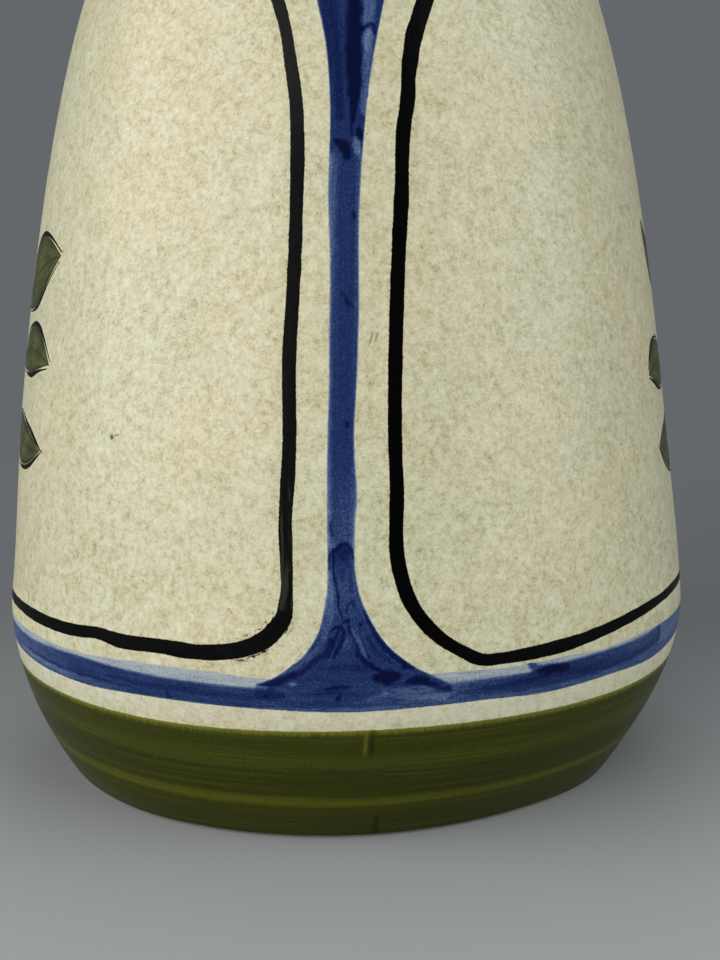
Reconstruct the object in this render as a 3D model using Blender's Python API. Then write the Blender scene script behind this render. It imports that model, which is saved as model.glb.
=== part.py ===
"""Hand-painted stoneware vase: a slip-cast clay body, its glaze coats and the colours brushed on them.

A fired vase is one casting with layers fused onto it. Each layer here is a solid of its own: the clay,
the cream glaze outside, the lining glaze inside, and every band, line, leaf and petal of colour.
Lengths are in metres and angles in degrees. The vase stands on Z = 0 with its axis on Z.
Angles round the vase start at the front, -Y, and grow towards +X.
"""

import math

import bmesh
import bpy
from mathutils import Vector

# Clay body: the outer outline, from the foot to the lip. A drop is measured down from the top
HEIGHT = 0.275
FOOT_RADIUS = 0.0756
BELLY_RADIUS = 0.0891
BELLY_HEIGHT = 0.0423
SHOULDER_RADIUS = 0.0615
SHOULDER_DROP = 0.077
NECK_RADIUS = 0.0326
NECK_DROP = 0.017
LIP_RADIUS = 0.0385

# Clay body: the way the outline leans at those places, inwards from upright
HEEL_FLARE = 34.0
BELLY_LEAN = 6.0
SHOULDER_LEAN = 23.7
LIP_FLARE = 35.0

# Clay body: wall, floor and the turned foot ring
WALL = 0.0055
FLOOR = 0.0085
FLOOR_FILLET = 0.007
FOOT_RING_WIDTH = 0.009
FOOT_RECESS = 0.004

# Layers: glaze and colour, each seated a hair above the layer below
SEAT = 0.0003
GLAZE = 0.0004
COLOUR = 0.00025
BARE_FOOT = 0.0012

# Bands round the foot and the neck
GREEN_FOOT_BAND = 0.0272
CREAM_STRIPE = 0.0049
BLUE_RING = 0.0050
LIP_BAND = 0.012
CREAM_NECK = 0.024

# Blue columns, front and back
COLUMN_WIDTH = 0.0054
FOOT_FLARE_REACH = 0.013
FOOT_FLARE_RISE = 0.027
NECK_FLARE_SPREAD = 44.0
ARCH_SPRING = 0.140

# Black panel lines, one round each side panel
LINE_WIDTH = 0.0025
PANEL_GAP = 0.0036
CREAM_MARGIN = 0.0064
CORNER_REACH = 0.012
CORNER_RISE = 0.014

# Leaf spray in each panel: a blossom, leaves all round it, a bud on a stem above and a bare stem below
SPRAY_HEIGHT = 0.104
EYE_RADIUS = 0.0050
PETAL_COUNT = 6
PETAL_LENGTH = 0.0165
PETAL_GAP = 0.0012
LEAF_GAP = 0.0030
STEM_WIDTH = 0.0016
UPPER_STEM = 0.020
LOWER_STEM = 0.019
STEM_BOW = 0.005
BUD_LENGTH = 0.017
BUD_WIDTH = 0.012

LEAF_LENGTH = 0.030
LEAF_WIDTH = 0.0125
LEAF_BOW = 0.003

# Each leaf: its bearing from the blossom, its heading, then its length, width and bow as shares of the usual ones
LEAVES = (
    (23.0, 16.0, 1.03, 1.40, 0.7),
    (-9.0, -3.0, 0.97, 1.00, 1.0),
    (-39.0, -14.0, 1.20, 0.88, -1.0),
    (194.0, 185.0, 0.73, 1.08, -0.7),
    (227.0, 193.0, 0.93, 1.04, 1.0),
    (140.0, 140.0, 0.63, 0.92, 0.7),
    (68.0, 60.0, 0.73, 0.76, -0.7),
    (111.0, 122.0, 0.70, 0.76, 0.7),
)

# Facets
TURNS = 32
HEEL_STEPS = 5
BODY_STEPS = 6
SHOULDER_STEPS = 8
NECK_STEPS = 3
LIP_STEPS = 4
FILLET_STEPS = 2
BAND_STEPS = 3
PANEL_FOOT_STEPS = 12
PANEL_CORNER_STEPS = 4
PANEL_SIDE_STEPS = 6
PANEL_ARCH_STEPS = 14
COLUMN_ROWS = 16
COLUMN_STRIP_ANGLE = 9.0
LEAF_ROWS = 6
STEM_ROWS = 4

# Where the layers and bands end up
COAT_LIFT = SEAT
COLOUR_LIFT = SEAT + GLAZE + SEAT
RING_FOOT = GREEN_FOOT_BAND + CREAM_STRIPE
RING_TOP = RING_FOOT + BLUE_RING
LIP_BAND_FOOT = HEIGHT - LIP_BAND
NECK_RING_TOP = LIP_BAND_FOOT - CREAM_NECK
NECK_RING_FOOT = NECK_RING_TOP - BLUE_RING
PANEL_FOOT = RING_TOP + PANEL_GAP + LINE_WIDTH / 2
PANEL_TOP = NECK_RING_FOOT - PANEL_GAP - LINE_WIDTH / 2
PANEL_SIDE = COLUMN_WIDTH / 2 + CREAM_MARGIN + LINE_WIDTH / 2
COLUMN_FOOT = RING_TOP + SEAT
COLUMN_TOP = NECK_RING_FOOT - SEAT
COLUMN_STRIPS = math.ceil(2 * NECK_FLARE_SPREAD / COLUMN_STRIP_ANGLE)
PETAL_START = EYE_RADIUS + PETAL_GAP
BLOSSOM_RADIUS = PETAL_START + PETAL_LENGTH
PETAL_WIDTH = math.tau / PETAL_COUNT * (PETAL_START + PETAL_LENGTH / 2) - 2 * PETAL_GAP

# Colours as (red, green, blue), linear
CLAY_COLOUR = (0.52, 0.42, 0.30)
CREAM_COLOUR = (0.60, 0.56, 0.41)
GREEN_COLOUR = (0.043, 0.050, 0.022)
LEAF_COLOUR = (0.062, 0.072, 0.032)
BLUE_COLOUR = (0.037, 0.068, 0.195)
BLACK_COLOUR = (0.007, 0.007, 0.008)
OCHRE_COLOUR = (0.42, 0.26, 0.06)


# Outline of the clay
def leaning(degrees):
    """Direction in the (radius, height) plane that climbs and leans inwards by this much."""
    return Vector((-math.sin(math.radians(degrees)), math.cos(math.radians(degrees))))


def outline_curves():
    """The outer outline as four cubic curves: heel, body, shoulder and neck."""
    flare = math.radians(LIP_FLARE)
    foot = Vector((FOOT_RADIUS, 0.0))
    belly = Vector((BELLY_RADIUS, BELLY_HEIGHT))
    shoulder = Vector((SHOULDER_RADIUS, HEIGHT - SHOULDER_DROP))
    neck = Vector((NECK_RADIUS, HEIGHT - NECK_DROP))
    lip = Vector((LIP_RADIUS, HEIGHT - WALL / 2 * (1 + math.sin(flare))))
    places = (foot, belly, shoulder, neck, lip)
    headings = [leaning(lean) for lean in (-HEEL_FLARE, BELLY_LEAN, SHOULDER_LEAN, 0.0, -LIP_FLARE)]
    # How far each curve's two handles reach, as shares of its height
    reaches = ((0.43, 0.26), (0.17, 0.28), (0.52, 0.27), (0.40, 0.35))
    curves = []
    for k, (start_reach, end_reach) in enumerate(reaches):
        rise = places[k + 1].y - places[k].y
        start_handle = places[k] + headings[k] * (start_reach * rise)
        end_handle = places[k + 1] - headings[k + 1] * (end_reach * rise)
        curves.append((places[k], start_handle, end_handle, places[k + 1]))
    return curves


OUTLINE = outline_curves()


def outline_at(place):
    """Point and outward normal on the outline. Place runs from 0 at the foot to 4 at the lip."""
    curve = min(int(place), len(OUTLINE) - 1)
    t = place - curve
    s = 1.0 - t
    a, b, c, d = OUTLINE[curve]
    point = a * s**3 + b * (3 * s * s * t) + c * (3 * s * t * t) + d * t**3
    heading = (b - a) * (s * s) + (c - b) * (2 * s * t) + (d - c) * (t * t)
    heading.normalize()
    return point, Vector((heading.y, -heading.x))


def place_where(height_of, wanted):
    """The place on the outline where height_of(place), which only climbs, reaches the wanted value."""
    low = 0.0
    high = float(len(OUTLINE))
    for _ in range(40):
        middle = (low + high) / 2
        if height_of(middle) < wanted:
            low = middle
        else:
            high = middle
    return (low + high) / 2


def place_at(height):
    return place_where(lambda place: outline_at(place)[0].y, height)


def outline_stations(start):
    """The places at which the wall is faceted, from the given one up to the lip."""
    places = [start]
    for curve, steps in enumerate((HEEL_STEPS, BODY_STEPS, SHOULDER_STEPS, NECK_STEPS)):
        places += [curve + (k + 1) / steps for k in range(steps)]
    least_step = 0.5 / HEEL_STEPS
    return [start] + [place for place in places if place > start + least_step]


def outside_path(start):
    """Points and normals up the outside of the clay."""
    return [outline_at(place) for place in outline_stations(start)]


def lip_path(first, last):
    """Points and normals over the rounded lip. 0 is its outer side, 180 its inner side."""
    outer, normal = outline_at(float(len(OUTLINE)))
    centre = outer - normal * (WALL / 2)
    path = []
    for k in range(LIP_STEPS + 1):
        turn = math.radians(first + (last - first) * k / LIP_STEPS)
        spoke = Vector((
            normal.x * math.cos(turn) - normal.y * math.sin(turn),
            normal.x * math.sin(turn) + normal.y * math.cos(turn),
        ))
        path.append((centre + spoke * (WALL / 2), spoke))
    return path


def inside_path():
    """Points and normals down the inside of the clay, from the lip to the middle of the floor."""

    def inner_height(place):
        point, normal = outline_at(place)
        return point.y - normal.y * WALL

    lowest = place_where(inner_height, FLOOR + FLOOR_FILLET)
    path = []
    # Every other station is enough inside, down to the one where the fillet starts
    places = outline_stations(lowest)[:0:-2] + [lowest]
    for place in places:
        point, normal = outline_at(place)
        path.append((point - normal * WALL, -normal))
    corner, start_normal = path[-1]
    lean = math.atan2(start_normal.y, -start_normal.x)
    for k in range(1, FILLET_STEPS + 1):
        turn = lean + (math.pi / 2 - lean) * k / FILLET_STEPS
        share = k / FILLET_STEPS
        drop = FLOOR_FILLET * math.sin(share * math.pi / 2)
        inset = FLOOR_FILLET * (1 - math.cos(share * math.pi / 2))
        point = Vector((corner.x - inset, corner.y - drop))
        path.append((point, Vector((-math.cos(turn), math.sin(turn)))))
    path.append((Vector((0.0, FLOOR)), Vector((0.0, 1.0))))
    return path


def lifted(path, lift):
    return [point + normal * lift for point, normal in path]


# Objects
def material(name, colour, roughness):
    made = bpy.data.materials.new(name)
    made.use_nodes = True
    shader = made.node_tree.nodes["Principled BSDF"]
    shader.inputs["Base Color"].default_value = (*colour, 1.0)
    shader.inputs["Roughness"].default_value = roughness
    shader.inputs["Metallic"].default_value = 0.0
    made.diffuse_color = (*colour, 1.0)
    return made


def finished(name, builder, finish):
    """A smooth-shaded object from a bmesh, with a material of its own."""
    mesh = bpy.data.meshes.new(name)
    builder.to_mesh(mesh)
    builder.free()
    mesh.shade_smooth()
    mesh.set_sharp_from_angle(angle=math.radians(40))
    colour, roughness = finish
    mesh.materials.append(material(name, colour, roughness))
    made = bpy.data.objects.new(name, mesh)
    bpy.context.collection.objects.link(made)
    return made


def turned(name, outline, finish):
    """A solid turned about Z from a closed outline of (radius, height) points."""
    builder = bmesh.new()
    points = [builder.verts.new((max(point.x, 0.0), 0.0, point.y)) for point in outline]
    edges = []
    for a, b in zip(points, points[1:] + points[:1]):
        if a.co.x > 0.0 or b.co.x > 0.0:
            edges.append(builder.edges.new((a, b)))
    bmesh.ops.spin(
        builder, geom=points + edges, cent=(0, 0, 0), axis=(0, 0, 1), angle=math.tau, steps=TURNS, use_merge=True
    )
    bmesh.ops.remove_doubles(builder, verts=builder.verts, dist=1e-6)
    bmesh.ops.recalc_face_normals(builder, faces=builder.faces)
    return finished(name, builder, finish)


def on_wall(angle, height, lift=COLOUR_LIFT):
    """A point this far above the clay, at an angle in radians and a height up the outside."""
    point, normal = outline_at(place_at(height))
    radius = point.x + normal.x * lift
    return Vector((radius * math.sin(angle), -radius * math.cos(angle), point.y + normal.y * lift))


def wall_radius(height):
    return outline_at(place_at(height))[0].x


def angle_of(across, height):
    """The angle at which a straight upright line stands this far to one side of the front."""
    return math.asin(across / wall_radius(height))


def brushed(name, rows, finish, closed=False):
    """A thin coat of colour over a net of points on the wall. A row of one point is a tip."""
    builder = bmesh.new()
    net = [[builder.verts.new(point) for point in row] for row in rows]
    pairs = list(zip(net, net[1:] + net[:1])) if closed else list(zip(net, net[1:]))
    for row, following in pairs:
        for k in range(max(len(row), len(following)) - 1):
            corners = []
            for vert in (row[min(k, len(row) - 1)], row[min(k + 1, len(row) - 1)],
                         following[min(k + 1, len(following) - 1)], following[min(k, len(following) - 1)]):
                if vert not in corners:
                    corners.append(vert)
            builder.faces.new(corners)
    bmesh.ops.recalc_face_normals(builder, faces=builder.faces)
    builder.faces.ensure_lookup_table()
    face = builder.faces[0]
    outwards = Vector((face.calc_center_median().x, face.calc_center_median().y, 0.0))
    if face.normal.dot(outwards) < 0.0:
        bmesh.ops.reverse_faces(builder, faces=builder.faces)
    made = finished(name, builder, finish)
    coat = made.modifiers.new("Coat of colour", "SOLIDIFY")
    coat.thickness = COLOUR
    coat.offset = 1.0
    return made


# Clay and glazes
def make_clay_body():
    ring_inside = FOOT_RADIUS - FOOT_RING_WIDTH
    underside = [Vector((0.0, FOOT_RECESS)), Vector((ring_inside, FOOT_RECESS)), Vector((ring_inside, 0.0))]
    outline = underside + lifted(outside_path(0.0), 0.0)
    outline += lifted(lip_path(0.0, 180.0)[1:-1], 0.0)
    outline += lifted(inside_path(), 0.0)
    turned("clay_body", outline, (CLAY_COLOUR, 0.85))


def shell(path, lift, thickness):
    """Closed outline of a coat of this thickness, laid along a path at this lift."""
    return lifted(path, lift) + lifted(path, lift + thickness)[::-1]


def make_glazes():
    lip_end = 180.0 - math.degrees(SEAT / (WALL / 2))
    outside = outside_path(place_at(BARE_FOOT)) + lip_path(0.0, lip_end)[1:]
    turned("cream_glaze_coat", shell(outside, COAT_LIFT, GLAZE), (CREAM_COLOUR, 0.35))
    turned("lining_glaze", shell(inside_path(), COAT_LIFT, GLAZE), (CREAM_COLOUR, 0.35))


# Colour bands
def band_path(low, high):
    return [outline_at(place_at(low + (high - low) * k / BAND_STEPS)) for k in range(BAND_STEPS + 1)]


def make_bands():
    foot_band = band_path(BARE_FOOT, GREEN_FOOT_BAND)
    turned("green_foot_band", shell(foot_band, COLOUR_LIFT, COLOUR), (GREEN_COLOUR, 0.30))
    for name, low, high in (
        ("blue_foot_ring", RING_FOOT, RING_TOP),
        ("blue_neck_ring", NECK_RING_FOOT, NECK_RING_TOP),
    ):
        ends = [outline_at(place_at(low)), outline_at(place_at(high))]
        turned(name, shell(ends, COLOUR_LIFT, COLOUR), (BLUE_COLOUR, 0.30))
    lip_outside = outline_at(float(len(OUTLINE)))[0].y
    lip_band = band_path(LIP_BAND_FOOT, lip_outside) + lip_path(0.0, 90.0 + LIP_FLARE)[1:]
    turned("green_lip_band", shell(lip_band, COLOUR_LIFT, COLOUR), (GREEN_COLOUR, 0.30))


def quarter_curve(share):
    """Runs from 0 to 1 as a quarter of an ellipse does: level with its start, square to its end."""
    return 1.0 - math.sqrt(max(0.0, 1.0 - share * share))


def column_half_angle(height):
    """Half the angle that a blue column covers at this height."""
    half = COLUMN_WIDTH / 2
    above_foot = height - COLUMN_FOOT
    if above_foot < FOOT_FLARE_RISE:
        half += FOOT_FLARE_REACH * quarter_curve(1.0 - above_foot / FOOT_FLARE_RISE)
    angle = angle_of(half, height)
    if height > ARCH_SPRING:
        share = quarter_curve((height - ARCH_SPRING) / (COLUMN_TOP - ARCH_SPRING))
        angle += (math.radians(NECK_FLARE_SPREAD) - angle) * share
    return angle


def make_columns():
    """Blue columns that flare into the rings at the foot and the neck."""
    for name, turn in (("blue_column_front", 0.0), ("blue_column_back", math.pi)):
        rows = []
        for k in range(COLUMN_ROWS + 1):
            # Rows crowd towards both ends, where the flares curve most
            share = (1.0 - math.cos(math.pi * k / COLUMN_ROWS)) / 2
            height = COLUMN_FOOT + (COLUMN_TOP - COLUMN_FOOT) * share
            half = column_half_angle(height)
            steps = [2 * j / COLUMN_STRIPS - 1 for j in range(COLUMN_STRIPS + 1)]
            rows.append([on_wall(turn + half * step, height) for step in steps])
        brushed(name, rows, (BLUE_COLOUR, 0.30))


# Panel lines
def panel_half_path(inset):
    """One half of a panel's outline as (angle from the column, height), foot to top, moved in by inset."""
    side = PANEL_SIDE + inset
    foot = PANEL_FOOT + inset
    top = PANEL_TOP - inset
    reach = CORNER_REACH - inset
    rise = CORNER_RISE - inset
    corner = angle_of(side + reach, foot)
    path = []
    for k in range(PANEL_FOOT_STEPS):
        path.append((math.pi / 2 + (corner - math.pi / 2) * k / PANEL_FOOT_STEPS, foot))
    for k in range(PANEL_CORNER_STEPS):
        turn = math.pi / 2 * k / PANEL_CORNER_STEPS
        height = foot + rise * (1.0 - math.cos(turn))
        path.append((angle_of(side + reach * (1.0 - math.sin(turn)), height), height))
    for k in range(PANEL_SIDE_STEPS):
        height = foot + rise + (ARCH_SPRING - foot - rise) * k / PANEL_SIDE_STEPS
        path.append((angle_of(side, height), height))
    spring = angle_of(side, ARCH_SPRING)
    for k in range(PANEL_ARCH_STEPS + 1):
        turn = math.pi / 2 * k / PANEL_ARCH_STEPS
        height = ARCH_SPRING + (top - ARCH_SPRING) * math.sin(turn)
        path.append((spring + (math.pi / 2 - spring) * (1.0 - math.cos(turn)), height))
    return path


def panel_loop(inset):
    """The whole outline of a panel as (angle from its middle, height), all the way round."""
    half = panel_half_path(inset)
    right = [(math.pi / 2 - angle, height) for angle, height in half]
    left = [(-angle, height) for angle, height in right[-2:0:-1]]
    return right + left


def make_panel_lines():
    for name, turn in (("black_panel_line_left", -math.pi / 2), ("black_panel_line_right", math.pi / 2)):
        outer = panel_loop(-LINE_WIDTH / 2)
        inner = panel_loop(LINE_WIDTH / 2)
        rows = []
        for edges in zip(outer, inner):
            rows.append([on_wall(turn + angle, height) for angle, height in edges])
        brushed(name, rows, (BLACK_COLOUR, 0.30), closed=True)


# Leaf sprays
def spray_point(turn, across, up):
    height = SPRAY_HEIGHT + up
    return on_wall(turn + across / wall_radius(height), height)


def leaf_swell(share):
    """Half-width of a leaf along its length: full near its base, pointed at its tip."""
    return math.sin(math.pi * share**0.8)


def round_swell(share):
    return 2 * math.sqrt(share * (1.0 - share))


def make_blade(name, turn, start, heading, length, width, bow, swell, finish):
    """A leaf, petal or dot: a midrib with its two edges, bowed to one side, between two tips."""
    along = Vector((math.cos(math.radians(heading)), math.sin(math.radians(heading))))
    aside = Vector((-along.y, along.x))
    rows = []
    for k in range(LEAF_ROWS + 1):
        share = (1.0 - math.cos(math.pi * k / LEAF_ROWS)) / 2
        middle = Vector(start) + along * (length * share) + aside * (bow * math.sin(math.pi * share))
        half = width / 2 * swell(share)
        if k in (0, LEAF_ROWS):
            net = [middle]
        else:
            net = [middle - aside * half, middle, middle + aside * half]
        rows.append([spray_point(turn, point.x, point.y) for point in net])
    brushed(name, rows, finish)


def spoke(bearing, distance):
    return Vector((math.cos(math.radians(bearing)), math.sin(math.radians(bearing)))) * distance


def make_stem(name, turn, start, length):
    """A bowed stem that runs up or down from this height above the blossom's middle."""
    rows = []
    for k in range(STEM_ROWS + 1):
        share = k / STEM_ROWS
        middle = STEM_BOW * math.sin(share * math.pi) if length > 0 else STEM_BOW * share * share
        rows.append([spray_point(turn, middle + side * STEM_WIDTH / 2, start + length * share) for side in (-1, 1)])
    brushed(name, rows, (LEAF_COLOUR, 0.35))


def make_blossom(side, turn):
    eye_start = (-EYE_RADIUS, 0.0)
    make_blade(f"{side}_blossom_eye", turn, eye_start, 0.0, 2 * EYE_RADIUS, 2 * EYE_RADIUS, 0.0, round_swell,
               (OCHRE_COLOUR, 0.35))
    for k in range(PETAL_COUNT):
        bearing = 90.0 + 360.0 / PETAL_COUNT * k
        make_blade(f"{side}_petal_{k + 1}", turn, spoke(bearing, PETAL_START), bearing, PETAL_LENGTH, PETAL_WIDTH,
                   0.0, round_swell, (BLUE_COLOUR, 0.30))


def make_sprays():
    for side, turn in (("left", -math.pi / 2), ("right", math.pi / 2)):
        make_blossom(side, turn)
        clear = BLOSSOM_RADIUS + PETAL_GAP
        for k, (bearing, heading, length, width, bow) in enumerate(LEAVES):
            start = spoke(bearing, BLOSSOM_RADIUS + LEAF_GAP)
            make_blade(f"{side}_leaf_{k + 1}", turn, start, heading, length * LEAF_LENGTH, width * LEAF_WIDTH,
                       bow * LEAF_BOW, leaf_swell, (LEAF_COLOUR, 0.35))
        make_stem(f"{side}_upper_stem", turn, clear, UPPER_STEM)
        make_stem(f"{side}_lower_stem", turn, -clear, -LOWER_STEM)
        bud_start = (0.0, clear + UPPER_STEM + PETAL_GAP)
        make_blade(f"{side}_bud", turn, bud_start, 90.0, BUD_LENGTH, BUD_WIDTH, 0.0, leaf_swell, (BLUE_COLOUR, 0.30))


def main():
    for old in list(bpy.data.objects):
        bpy.data.objects.remove(old, do_unlink=True)
    make_clay_body()
    make_glazes()
    make_bands()
    make_columns()
    make_panel_lines()
    make_sprays()


main()
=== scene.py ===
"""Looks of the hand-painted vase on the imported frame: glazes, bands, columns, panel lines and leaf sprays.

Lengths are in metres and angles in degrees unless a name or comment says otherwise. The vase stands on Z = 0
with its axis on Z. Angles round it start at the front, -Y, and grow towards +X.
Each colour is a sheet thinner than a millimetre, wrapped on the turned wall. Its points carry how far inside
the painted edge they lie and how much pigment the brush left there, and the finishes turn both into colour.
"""

import math

import bpy
import numpy as np
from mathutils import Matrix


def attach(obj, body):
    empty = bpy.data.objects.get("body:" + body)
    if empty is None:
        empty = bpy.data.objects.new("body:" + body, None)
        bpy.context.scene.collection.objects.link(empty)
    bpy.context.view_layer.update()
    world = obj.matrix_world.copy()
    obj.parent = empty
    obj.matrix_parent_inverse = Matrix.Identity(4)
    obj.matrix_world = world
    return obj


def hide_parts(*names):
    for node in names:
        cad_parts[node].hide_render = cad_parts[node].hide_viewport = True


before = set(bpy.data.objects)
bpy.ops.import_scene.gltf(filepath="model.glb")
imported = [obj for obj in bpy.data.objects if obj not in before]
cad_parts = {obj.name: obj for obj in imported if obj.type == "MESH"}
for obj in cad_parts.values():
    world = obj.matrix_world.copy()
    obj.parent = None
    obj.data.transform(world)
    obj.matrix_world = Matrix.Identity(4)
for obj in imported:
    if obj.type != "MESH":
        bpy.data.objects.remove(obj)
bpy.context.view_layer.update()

MM = 0.001

# Clay body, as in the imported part
HEIGHT = 0.275
FOOT_RADIUS = 0.0756
BELLY_RADIUS = 0.0891
BELLY_HEIGHT = 0.0423
SHOULDER_RADIUS = 0.0615
SHOULDER_DROP = 0.077
NECK_RADIUS = 0.0326
NECK_DROP = 0.017
LIP_RADIUS = 0.0385
HEEL_FLARE = 34.0
BELLY_LEAN = 6.0
SHOULDER_LEAN = 23.7
LIP_FLARE = 35.0
# Reach of the two handles of each curve, as shares of its rise
HANDLE_REACHES = ((0.43, 0.26), (0.17, 0.28), (0.52, 0.27), (0.40, 0.35))
WALL = 0.0055
FLOOR = 0.0085
FLOOR_FILLET = 0.007
FOOT_RING_WIDTH = 0.009
FOOT_RECESS = 0.004
FOOT_EDGE = 0.0007

# The casting is a little out of round, and shifted one way at the belly and the other way at the heel
BELLY_SHIFT = 0.9 * MM
BELLY_SHIFT_HEIGHT = 48 * MM
BELLY_SHIFT_SPREAD = 28 * MM
HEEL_SHIFT = -1.1 * MM
HEEL_SHIFT_SPREAD = 16 * MM
OVAL = 0.992
# How far the heel stands out of round: angle, and millimetres outward
HEEL_ROUND = (
    (-180.0, 0.0), (-110.0, 0.0), (-78.0, -0.3), (-63.0, -0.4), (-46.0, 0.9), (-32.0, 1.6), (-22.0, 1.3),
    (0.0, 0.6), (22.0, -0.3), (32.0, -0.4), (40.0, 0.1), (48.0, 0.6), (56.0, 0.2), (67.0, -1.4),
    (78.0, -2.2), (92.0, -1.8), (116.0, -0.5), (140.0, 0.0), (180.0, 0.0),
)
HEEL_ROUND_SPREAD = 13 * MM

# Layers: how far out from the clay they reach, how the colours lie on the glaze, and the bare foot's height
COAT_INSIDE = 0.0003
COAT_OUTSIDE = 0.0007
PAINT_PROUD = 0.000025
PAINT_SUNK = 0.00002
PAINT_THICKNESS = 0.00022
PAINT_ROUNDING = 0.0007
BARE_FOOT = 0.0012
GLAZE_LAP = 0.00004
RING_LIFT = 0.000004
CONTOUR_LIFT = 0.00002

# How far a sheet runs on past its painted edge
GREEN_MARGIN = 0.5 * MM
COLUMN_MARGIN_MM = 0.7
BLADE_MARGIN = 0.6 * MM

# Bands round the foot and the neck
GREEN_TOP = 27.2 * MM
GREEN_TILT = 0.5 * MM
GREEN_RISE = 0.95 * MM
GREEN_RISE_ANGLE = 20.0
GREEN_RISE_SPREAD = 27.0
MOULD_SEAM = 5.3
SEAM_SLANT_MM = 4.4
LIP_BAND_FOOT = HEIGHT - 0.012
NECK_RING_FOOT = 0.234
NECK_RING_TOP = 0.239
FOOT_RING_SHEET_LOW = 31.0 * MM
FOOT_RING_SHEET_HIGH = 39.7 * MM

# Blue columns and black lines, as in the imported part
COLUMN_HALF_WIDTH = 0.0027
COLUMN_TOP = 0.2337
NECK_FLARE_SPREAD = 44.0
ARCH_SPRING = 0.140
ARCH_TOP = 0.22915
ARCH_SPRING_ANGLE = 7.6

# Leaf sprays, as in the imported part
SPRAY_HEIGHT = 0.104
EYE_RADIUS = 0.0050
PETAL_COUNT = 6
PETAL_LENGTH = 0.0165
PETAL_GAP = 0.0012
LEAF_GAP = 0.0030
STEM_WIDTH = 0.0016
UPPER_STEM = 0.020
LOWER_STEM = 0.019
STEM_BOW = 0.005
BUD_LENGTH = 0.017
BUD_WIDTH = 0.012
LEAF_LENGTH = 0.030
LEAF_WIDTH = 0.0125
LEAF_BOW = 0.003
PETAL_START = EYE_RADIUS + PETAL_GAP
BLOSSOM_RADIUS = PETAL_START + PETAL_LENGTH
PETAL_WIDTH = math.tau / PETAL_COUNT * (PETAL_START + PETAL_LENGTH / 2) - 2 * PETAL_GAP
# Leaves: bearing of the base, heading, and shares of the length, width and bow
LEAVES = (
    (23.0, 16.0, 1.03, 1.40, 0.7),
    (-9.0, -3.0, 0.97, 1.00, 1.0),
    (-39.0, -14.0, 1.20, 0.88, -1.0),
    (194.0, 185.0, 0.73, 1.08, -0.7),
    (227.0, 193.0, 0.93, 1.04, 1.0),
    (140.0, 140.0, 0.63, 0.92, 0.7),
    (68.0, 60.0, 0.73, 0.76, -0.7),
    (111.0, 122.0, 0.70, 0.76, 0.7),
)

# Contours of a leaf: name, side, and the shares of the leaf's length where it starts and ends
CONTOURS = (("upper", 1, 0.04, 1.02), ("lower", -1, 0.10, 0.99))

# Facets
TURNS = 256
CURVE_STEPS = 60
MERGE_DISTANCE = 2e-6
SMOOTH_ANGLE = math.radians(40)

# Seeds of the random draws
GREEN_SEED = 5
NECK_SEED = 11
LINE_SEED = 3
FAN_SEED = 17
MARK_SEEDS = (21, 22)

# Blue column, drawn by hand: its two edges as (millimetres to the right of the middle, height in
# millimetres), and how many millimetres to the left it leans at some heights
COLUMN_LEFT_EDGE = (
    (-17.2, 36.8), (-13.5, 38.4), (-10.0, 40.9), (-8.0, 42.5), (-6.0, 45.2), (-5.0, 47.0), (-4.25, 49.3),
    (-3.65, 52.1), (-3.2, 54.9), (-2.95, 58.5), (-2.85, 62.0), (-2.85, 66.0), (-2.85, 72.0), (-2.85, 79.0),
    (-2.85, 86.0), (-2.8, 94.0), (-2.85, 105.0), (-2.7, 118.0), (-3.0, 130.0), (-2.6, 149.4), (-3.5, 161.3),
    (-5.1, 169.4),
)
COLUMN_RIGHT_EDGE = (
    (21.0, 36.8), (18.0, 38.4), (15.0, 39.9), (12.3, 41.6), (9.6, 43.8), (7.0, 46.8), (4.95, 50.5),
    (3.9, 52.7), (3.1, 55.3), (2.5, 59.3), (2.5, 64.0), (2.65, 68.0), (3.05, 73.0), (2.6, 80.0),
    (2.35, 86.0), (2.55, 92.0), (2.95, 105.0), (3.2, 130.0), (4.8, 149.5), (6.6, 161.4), (8.2, 169.6),
)
COLUMN_LEAN = ((30.0, 66.0, 80.0, 95.0, 110.0), (1.25, 1.2, 0.75, 0.2, 0.0))
# Its pigment, and the heights in millimetres of the seam of two brush loads and of the flare's cap
COLUMN_PIGMENT = 0.57
STROKE_SEAM = 138.0
FLARE_CAP = 63.5

# Shares of a column's rows, and the heights in millimetres they reach: closest where the brush marks are
COLUMN_ROWS = ((0.0, 0.34, 0.59, 0.85, 1.0), (37.6, 66.0, 136.0, 172.0, 233.7))

# Black lines, drawn by hand beside the column from the foot line up to the arch: angle, then height and
# width in millimetres
LEFT_LINE = (
    (-60.0, 42.4, 2.5), (-40.0, 42.5, 2.7), (-36.0, 43.0, 2.6), (-32.0, 42.4, 2.9), (-25.6, 42.6, 3.0),
    (-18.5, 42.4, 3.0), (-15.6, 42.9, 3.05), (-12.9, 43.9, 3.3), (-10.7, 45.6, 3.6), (-9.3, 47.7, 3.75),
    (-8.3, 50.0, 3.5), (-8.0, 52.8, 2.75), (-7.9, 62.8, 2.7), (-7.95, 68.0, 2.75), (-7.6, 75.0, 2.85),
    (-7.3, 82.1, 2.8), (-7.3, 101.2, 2.7), (-6.95, 111.0, 2.65), (-6.7, 120.4, 2.7), (-6.6, 131.0, 2.75),
    (-6.6, 139.8, 2.75), (-7.0, 149.5, 2.7), (-8.0, 157.4, 2.6), (-8.9, 163.5, 2.5), (-10.45, 169.8, 2.5),
)
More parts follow.
